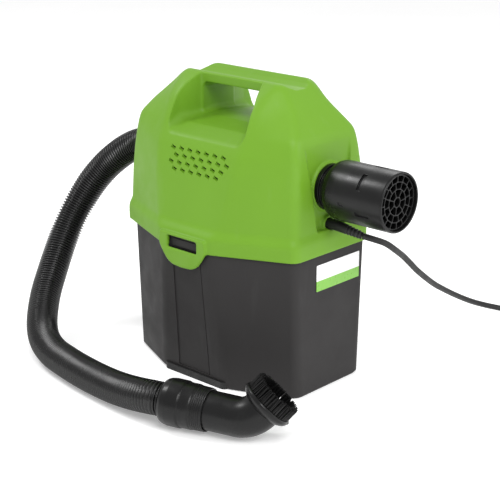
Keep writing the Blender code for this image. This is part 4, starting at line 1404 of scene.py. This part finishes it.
    def bristles(self, place: Matrix, base: float) -> bpy.types.Object:
        """Builds three rows of tufts with ragged tips.

        Args:
            place: matrix from the brush's axis.
            base: height of the collar's face on that axis.

        Returns:
            The tufts as one piece.
        """
        dice = random.Random(7)
        bm = bmesh.new()
        for row, (ring, tufts) in enumerate(self.tuft_rows):
            for tuft in range(tufts):
                angle = 2 * math.pi * (tuft + 0.5 * row) / tufts
                lean = dice.uniform(-0.035, 0.035)
                for _ in range(self.hairs):
                    a = angle + dice.uniform(-0.045, 0.045)
                    radius = ring + dice.uniform(-0.0008, 0.0008)
                    length = 0.0172 + dice.uniform(-0.0020, 0.0006)
                    tip_r = min(0.0305, radius - 0.0006 + dice.uniform(-0.0010, 0.0010))
                    foot = Vector((radius * math.cos(a), radius * math.sin(a), base + GAP))
                    tip = Vector((tip_r * math.cos(a + lean), tip_r * math.sin(a + lean), base + length))
                    size = (tip - foot).length
                    hair = place @ frame_along(foot, tip - foot) @ Matrix.Translation((0, 0, size / 2))
                    bmesh.ops.create_cone(bm, cap_ends=True, segments=5, radius1=self.hair_foot,
                                          radius2=self.hair_tip, depth=size, matrix=hair)
        return dress(add_mesh("bristle_tufts", bm), Slot.BRISTLE, "brush", "brush_bristles")

    def build(self) -> None:
        """Builds the hose with all that is on it."""
        tube = self.hose()
        pieces = [*self.cuffs(), self.elbow(), *self.brush()]


@dataclass
class MainsLead:
    """Mains lead with its sleeve at the head, the tied coil and the plug."""

    coil_centre: Flat = (0.262, 0.444)
    coil_mid: float = 0.048
    coil_base: float = 0.0018
    coil_half: float = 0.016
    plug_tip: Point = (0.1732, 0.5040, 0.0180)
    route: list[Point] = field(default_factory=lambda: [
        (0.1823, 0.0100, 0.2072), (0.1920, 0.0185, 0.2032), (0.1990, 0.0345, 0.1955),
        (0.1975, 0.0560, 0.1820), (0.1890, 0.0860, 0.1640), (0.1810, 0.1140, 0.1450),
        (0.1720, 0.1450, 0.1240), (0.1580, 0.2000, 0.0900), (0.1495, 0.2420, 0.0670),
        (0.1450, 0.2800, 0.0470), (0.1450, 0.3150, 0.0295), (0.1500, 0.3450, 0.0165),
        (0.1640, 0.3690, 0.0080), (0.1850, 0.3810, 0.0046), (0.2070, 0.3840, 0.0043),
        (0.2310, 0.3840, 0.0043),
    ])
    tail: list[Point] = field(default_factory=lambda: [
        (0.2310, 0.5040, 0.0298), (0.2200, 0.5040, 0.0278), (0.2080, 0.5040, 0.0235),
        (0.1960, 0.5040, 0.0197), (0.1850, 0.5040, 0.0182), (0.1738, 0.5040, 0.0180),
    ])
    layers: int = 4
    coil_degrees: int = 5220
    sleeve_route: list[Point] = field(default_factory=lambda: [
        (0.1340, 0.0, GLAND_Z), (0.1480, 0.0, GLAND_Z), (0.1620, 0.0015, 0.2140), (0.1735, 0.0050, 0.2108),
        (0.1820, 0.0098, 0.2073),
    ])
    sleeve_mouth: float = 0.0068
    sleeve_taper: float = 0.0018
    plug_notches: int = 12
    length: float = field(default=0.0, init=False)

    def coil(self) -> list[Point]:
        """Returns the turns of the coil, four layers of four.

        Each turn moves to its neighbour's place within an eighth of a turn, and each layer does so one step
        before the layer below, so that turns keep a diameter apart.

        Returns:
            The coil's points, from its outermost turn on the floor.
        """
        pitch, ease = 2 * CORD_R, 45.0
        moves = []
        side, first = -1, 300.0
        for _ in range(self.layers):
            moves += [(first + 360 * k, side * pitch, 0.0) for k in range(3)]
            moves.append((first + 1080 - ease, 0.0, pitch))
            first += 1080 + 270
            side = -side
        moves = moves[:-1]
        points = []
        for degrees in range(0, self.coil_degrees + 1, 12):
            radius, height = self.coil_mid + 1.5 * pitch, self.coil_base + CORD_R
            for start, outward, upward in moves:
                t = min(1.0, max(0.0, (degrees - start) / ease))
                eased = t * t * (3 - 2 * t)
                radius += outward * eased
                height += upward * eased
            angle = math.radians(degrees - 90)
            points.append((self.coil_centre[0] + radius * math.cos(angle),
                           self.coil_centre[1] + radius * math.sin(angle), height))
        return points

    def lead(self) -> bpy.types.Object:
        """Builds the whole lead as one curve and keeps its length.

        Returns:
            The lead.
        """
        coil = [Vector(p) for p in self.coil()]
        points = smooth_path(self.route, 0.006) + coil + smooth_path(self.tail, 0.006)
        curve = bpy.data.curves.new("mains_cord", "CURVE")
        curve.dimensions = "3D"
        curve.bevel_depth = CORD_R
        curve.bevel_resolution = 4
        curve.use_fill_caps = True
        spline = curve.splines.new("POLY")
        spline.points.add(len(points) - 1)
        for k, point in enumerate(points):
            spline.points[k].co = (*point, 1.0)
        spline.use_smooth = True
        lead = bpy.data.objects.new("mains_cord", curve)
        bpy.context.scene.collection.objects.link(lead)
        self.length = sum((q - p).length for p, q in zip(points, points[1:]))
        return dress(lead, Slot.RUBBER, "head", "mains_lead", "lead_coil", "lead_tail")

    def sleeve(self) -> None:
        """Builds the tapered sleeve with grooves near its mouth."""
        path = smooth_path(self.sleeve_route, 0.0007)
        radii = []
        for k in range(len(path)):
            t = k / (len(path) - 1)
            groove = 0.0007 if t > 0.62 and (k // 3) % 2 else 0.0
            radii.append(self.sleeve_mouth - self.sleeve_taper * t * t - groove)
        sleeve = skin("lead_sleeve", sweep_rings(path, radii, 40))
        dress(sleeve, Slot.RUBBER, "head", "strain_relief")

    def strap(self) -> bpy.types.Object:
        """Builds the band that ties the coil.

        Returns:
            The band.
        """
        half, mid = self.coil_half, self.coil_mid
        centre = Matrix.Translation((*self.coil_centre, self.coil_base + half))
        turn = centre @ Matrix.Rotation(math.radians(-60), 4, "Z") @ Matrix.Translation((mid, 0, 0))
        rings = []
        for grow, along in ((0.0003, -0.0056), (0.0003, 0.0056), (0.0008, 0.0060), (0.0013, 0.0054),
                            (0.0014, 0.0), (0.0013, -0.0054), (0.0008, -0.0060)):
            outline = rounded(half + grow + 0.0003, half + grow, 0.004 + grow, 6)
            rings.append([tuple(turn @ Vector((x, along, z))) for x, z in outline])
        band = skin("coil_band", rings, endless=True)
        return dress(band, Slot.RUBBER, "head", "coil_strap")

    def plug(self) -> list[bpy.types.Object]:
        """Builds the plug's body and dresses its pins.

        Returns:
            The body and the pins.
        """
        place = frame_along(self.plug_tip, (-1, 0, 0))
        outline = [(0.0, 0.0), (0.0058, 0.0)]
        for k in range(4):
            low, ridge, valley = 0.0014 + 0.0030 * k, 0.0062 + 0.0004 * k, 0.0054 + 0.0004 * k
            outline += [(ridge, low), (ridge, low + 0.0016), (valley, low + 0.0018), (valley, low + 0.0028)]
        outline += [(0.0090, 0.0150), (0.0135, 0.0200), (0.0162, 0.0250), (0.0174, 0.0320), (0.0175, 0.0450),
                    (0.0166, 0.0480), (0.0, 0.0480)]
        body = lathe("plug_shell", outline, place, 72, 0.0005)
        notches = bmesh.new()
        for k in range(self.plug_notches):
            turn = Matrix.Rotation(2 * math.pi * k / self.plug_notches, 4, "Z")
            size = Matrix.Diagonal((0.0030, 0.0022, 0.014, 1))
            matrix = place @ turn @ Matrix.Translation((0.0182, 0, 0.037)) @ size
            bmesh.ops.create_cube(notches, size=1.0, matrix=matrix)
        carve(body, [(Cut.REMOVE, add_mesh("notches", notches))])
        dress(body, Slot.BLACK, "head", "plug_body")
        pins = []
        for node in ("plug_pin_1", "plug_pin_2"):
            bevel_node(node, Slot.STEEL, 0.0004)
            pins.append(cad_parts[node])
        return [body, *pins]

    def build(self) -> None:
        lead = self.lead()
        self.sleeve()
        self.strap()
        self.plug()
        log.info("mains lead is %.3f m", self.length)


class Insides:
    """Pieces inside the tank and the head, which keep their CAD shape."""

    FINISH: ClassVar[dict[Slot, tuple[str, ...]]] = {
        Slot.RUBBER: ("rim_seal", "fan_gasket", "motor_mount"),
        Slot.BLACK: ("base_plate", "filter_cage", "filter_cap", "filter_nut", "inlet_socket", "inlet_duct",
                     "exhaust_duct", "end_frame", "cord_clamp"),
        Slot.WHITE: ("terminal_block", "float_ball"),
        Slot.STEEL: ("lower_bearing", "upper_bearing", "stator_core", "motor_shaft", "armature",
                     "impeller_nut", "plate_screw_1", "plate_screw_2", "plate_screw_3", "plate_screw_4"),
        Slot.ALLOY: ("fan_case", "lower_bracket", "impeller"),
        Slot.COPPER: ("lower_winding", "upper_winding", "commutator", "brush_holder_left",
                      "brush_holder_right", "capacitor"),
        Slot.CARBON: ("carbon_brush_left", "carbon_brush_right"),
        Slot.PAPER: ("filter_cartridge",),
    }

    def build(self) -> None:
        """Dresses every inner CAD node."""
        for slot, nodes in self.FINISH.items():
            for node in nodes:
                bevel_node(node, slot, 0.0004)
        for node in ("stator_core", "armature"):
            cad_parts[node].data.materials[0] = LAMINATION


# ---- studio -------------------------------------------------------------------------------
@dataclass
class Studio:
    """Camera, pale floor and soft lights."""

    azimuth: float = 42.8206
    elevation: float = 18.3245
    distance: float = 1.75025
    lens: float = 96.076
    target: Point = (0.002775, 0.002571, 0.150498)
    floor_half: float = 25.0
    floor_glow: float = 0.26
    surround: float = 0.72

    def camera(self) -> None:
        """Places the camera."""
        a, e = math.radians(self.azimuth), math.radians(self.elevation)
        back = Vector((math.sin(a) * math.cos(e), -math.cos(a) * math.cos(e), math.sin(e)))
        right = Vector((math.cos(a), math.sin(a), 0.0))
        data = bpy.data.cameras.new("camera")
        data.sensor_width = 36.0
        data.lens = self.lens
        camera = bpy.data.objects.new("camera", data)
        matrix = Matrix((right, back.cross(right), back)).transposed().to_4x4()
        matrix.translation = Vector(self.target) + back * self.distance
        camera.matrix_world = matrix
        bpy.context.scene.collection.objects.link(camera)
        bpy.context.scene.camera = camera

    def floor(self) -> None:
        """Lays a pale floor."""
        bm = bmesh.new()
        bmesh.ops.create_grid(bm, x_segments=4, y_segments=4, size=self.floor_half)
        plane = add_mesh("floor", bm)
        graph = Graph("floor_paint", 0.8)
        cloud = graph.span(graph.noise(3.0), 0.0, 1.0)
        colour = graph.tint(cloud, (0.90, 0.90, 0.90), (0.92, 0.92, 0.92))
        graph.shader.inputs["Emission Color"].default_value = (1.0, 1.0, 1.0, 1.0)
        graph.shader.inputs["Emission Strength"].default_value = self.floor_glow
        plane.data.materials.append(graph.finish(colour, graph.span(graph.noise(20.0), 0.75, 0.9),
                                                 graph.bump(graph.noise(200.0), 0.00002)))

    def light(self, name: str, place: Point, aim: Point, size: float, power: float) -> None:
        """Hangs one square soft light.

        Args:
            name: the light's name.
            place: where it hangs.
            aim: the point that it faces.
            size: length of its side.
            power: watts.
        """
        data = bpy.data.lights.new(name, "AREA")
        data.shape = "SQUARE"
        data.size = size
        data.energy = power
        lamp = bpy.data.objects.new(name, data)
        lamp.location = place
        lamp.rotation_mode = "QUATERNION"
        lamp.rotation_quaternion = (Vector(aim) - Vector(place)).to_track_quat("-Z", "Y")
        bpy.context.scene.collection.objects.link(lamp)

    def world(self) -> None:
        """Sets a plain bright surround."""
        world = bpy.data.worlds.new("surround")
        bpy.context.scene.world = world
        world.use_nodes = True
        background = world.node_tree.nodes["Background"]
        background.inputs["Color"].default_value = (1.0, 1.0, 1.0, 1.0)
        background.inputs["Strength"].default_value = self.surround
        bpy.context.scene.view_settings.view_transform = "Standard"

    def build(self) -> None:
        """Sets the whole studio."""
        self.camera()
        self.floor()
        self.world()
        self.light("key", (1.5, -1.1, 2.0), (0, 0, 0.12), 1.2, 34.0)
        self.light("side", (2.3, 0.9, 1.1), (0, 0, 0.15), 1.2, 20.0)
        self.light("strip", (-1.3, -0.7, 1.9), (-0.1, -0.1, 0.1), 0.5, 17.0)
        self.light("back", (-0.9, 1.6, 1.7), (0, 0, 0.25), 1.0, 8.0)


def main() -> None:
    """Builds every sub-assembly in order."""
    for part in (Studio(), Hose(), MainsLead(), Tank(), Head(), Switch(), Exhaust(), Insides()):
        part.build()
        log.info("%s done", type(part).__name__)


if __name__ == "__main__":
    main()
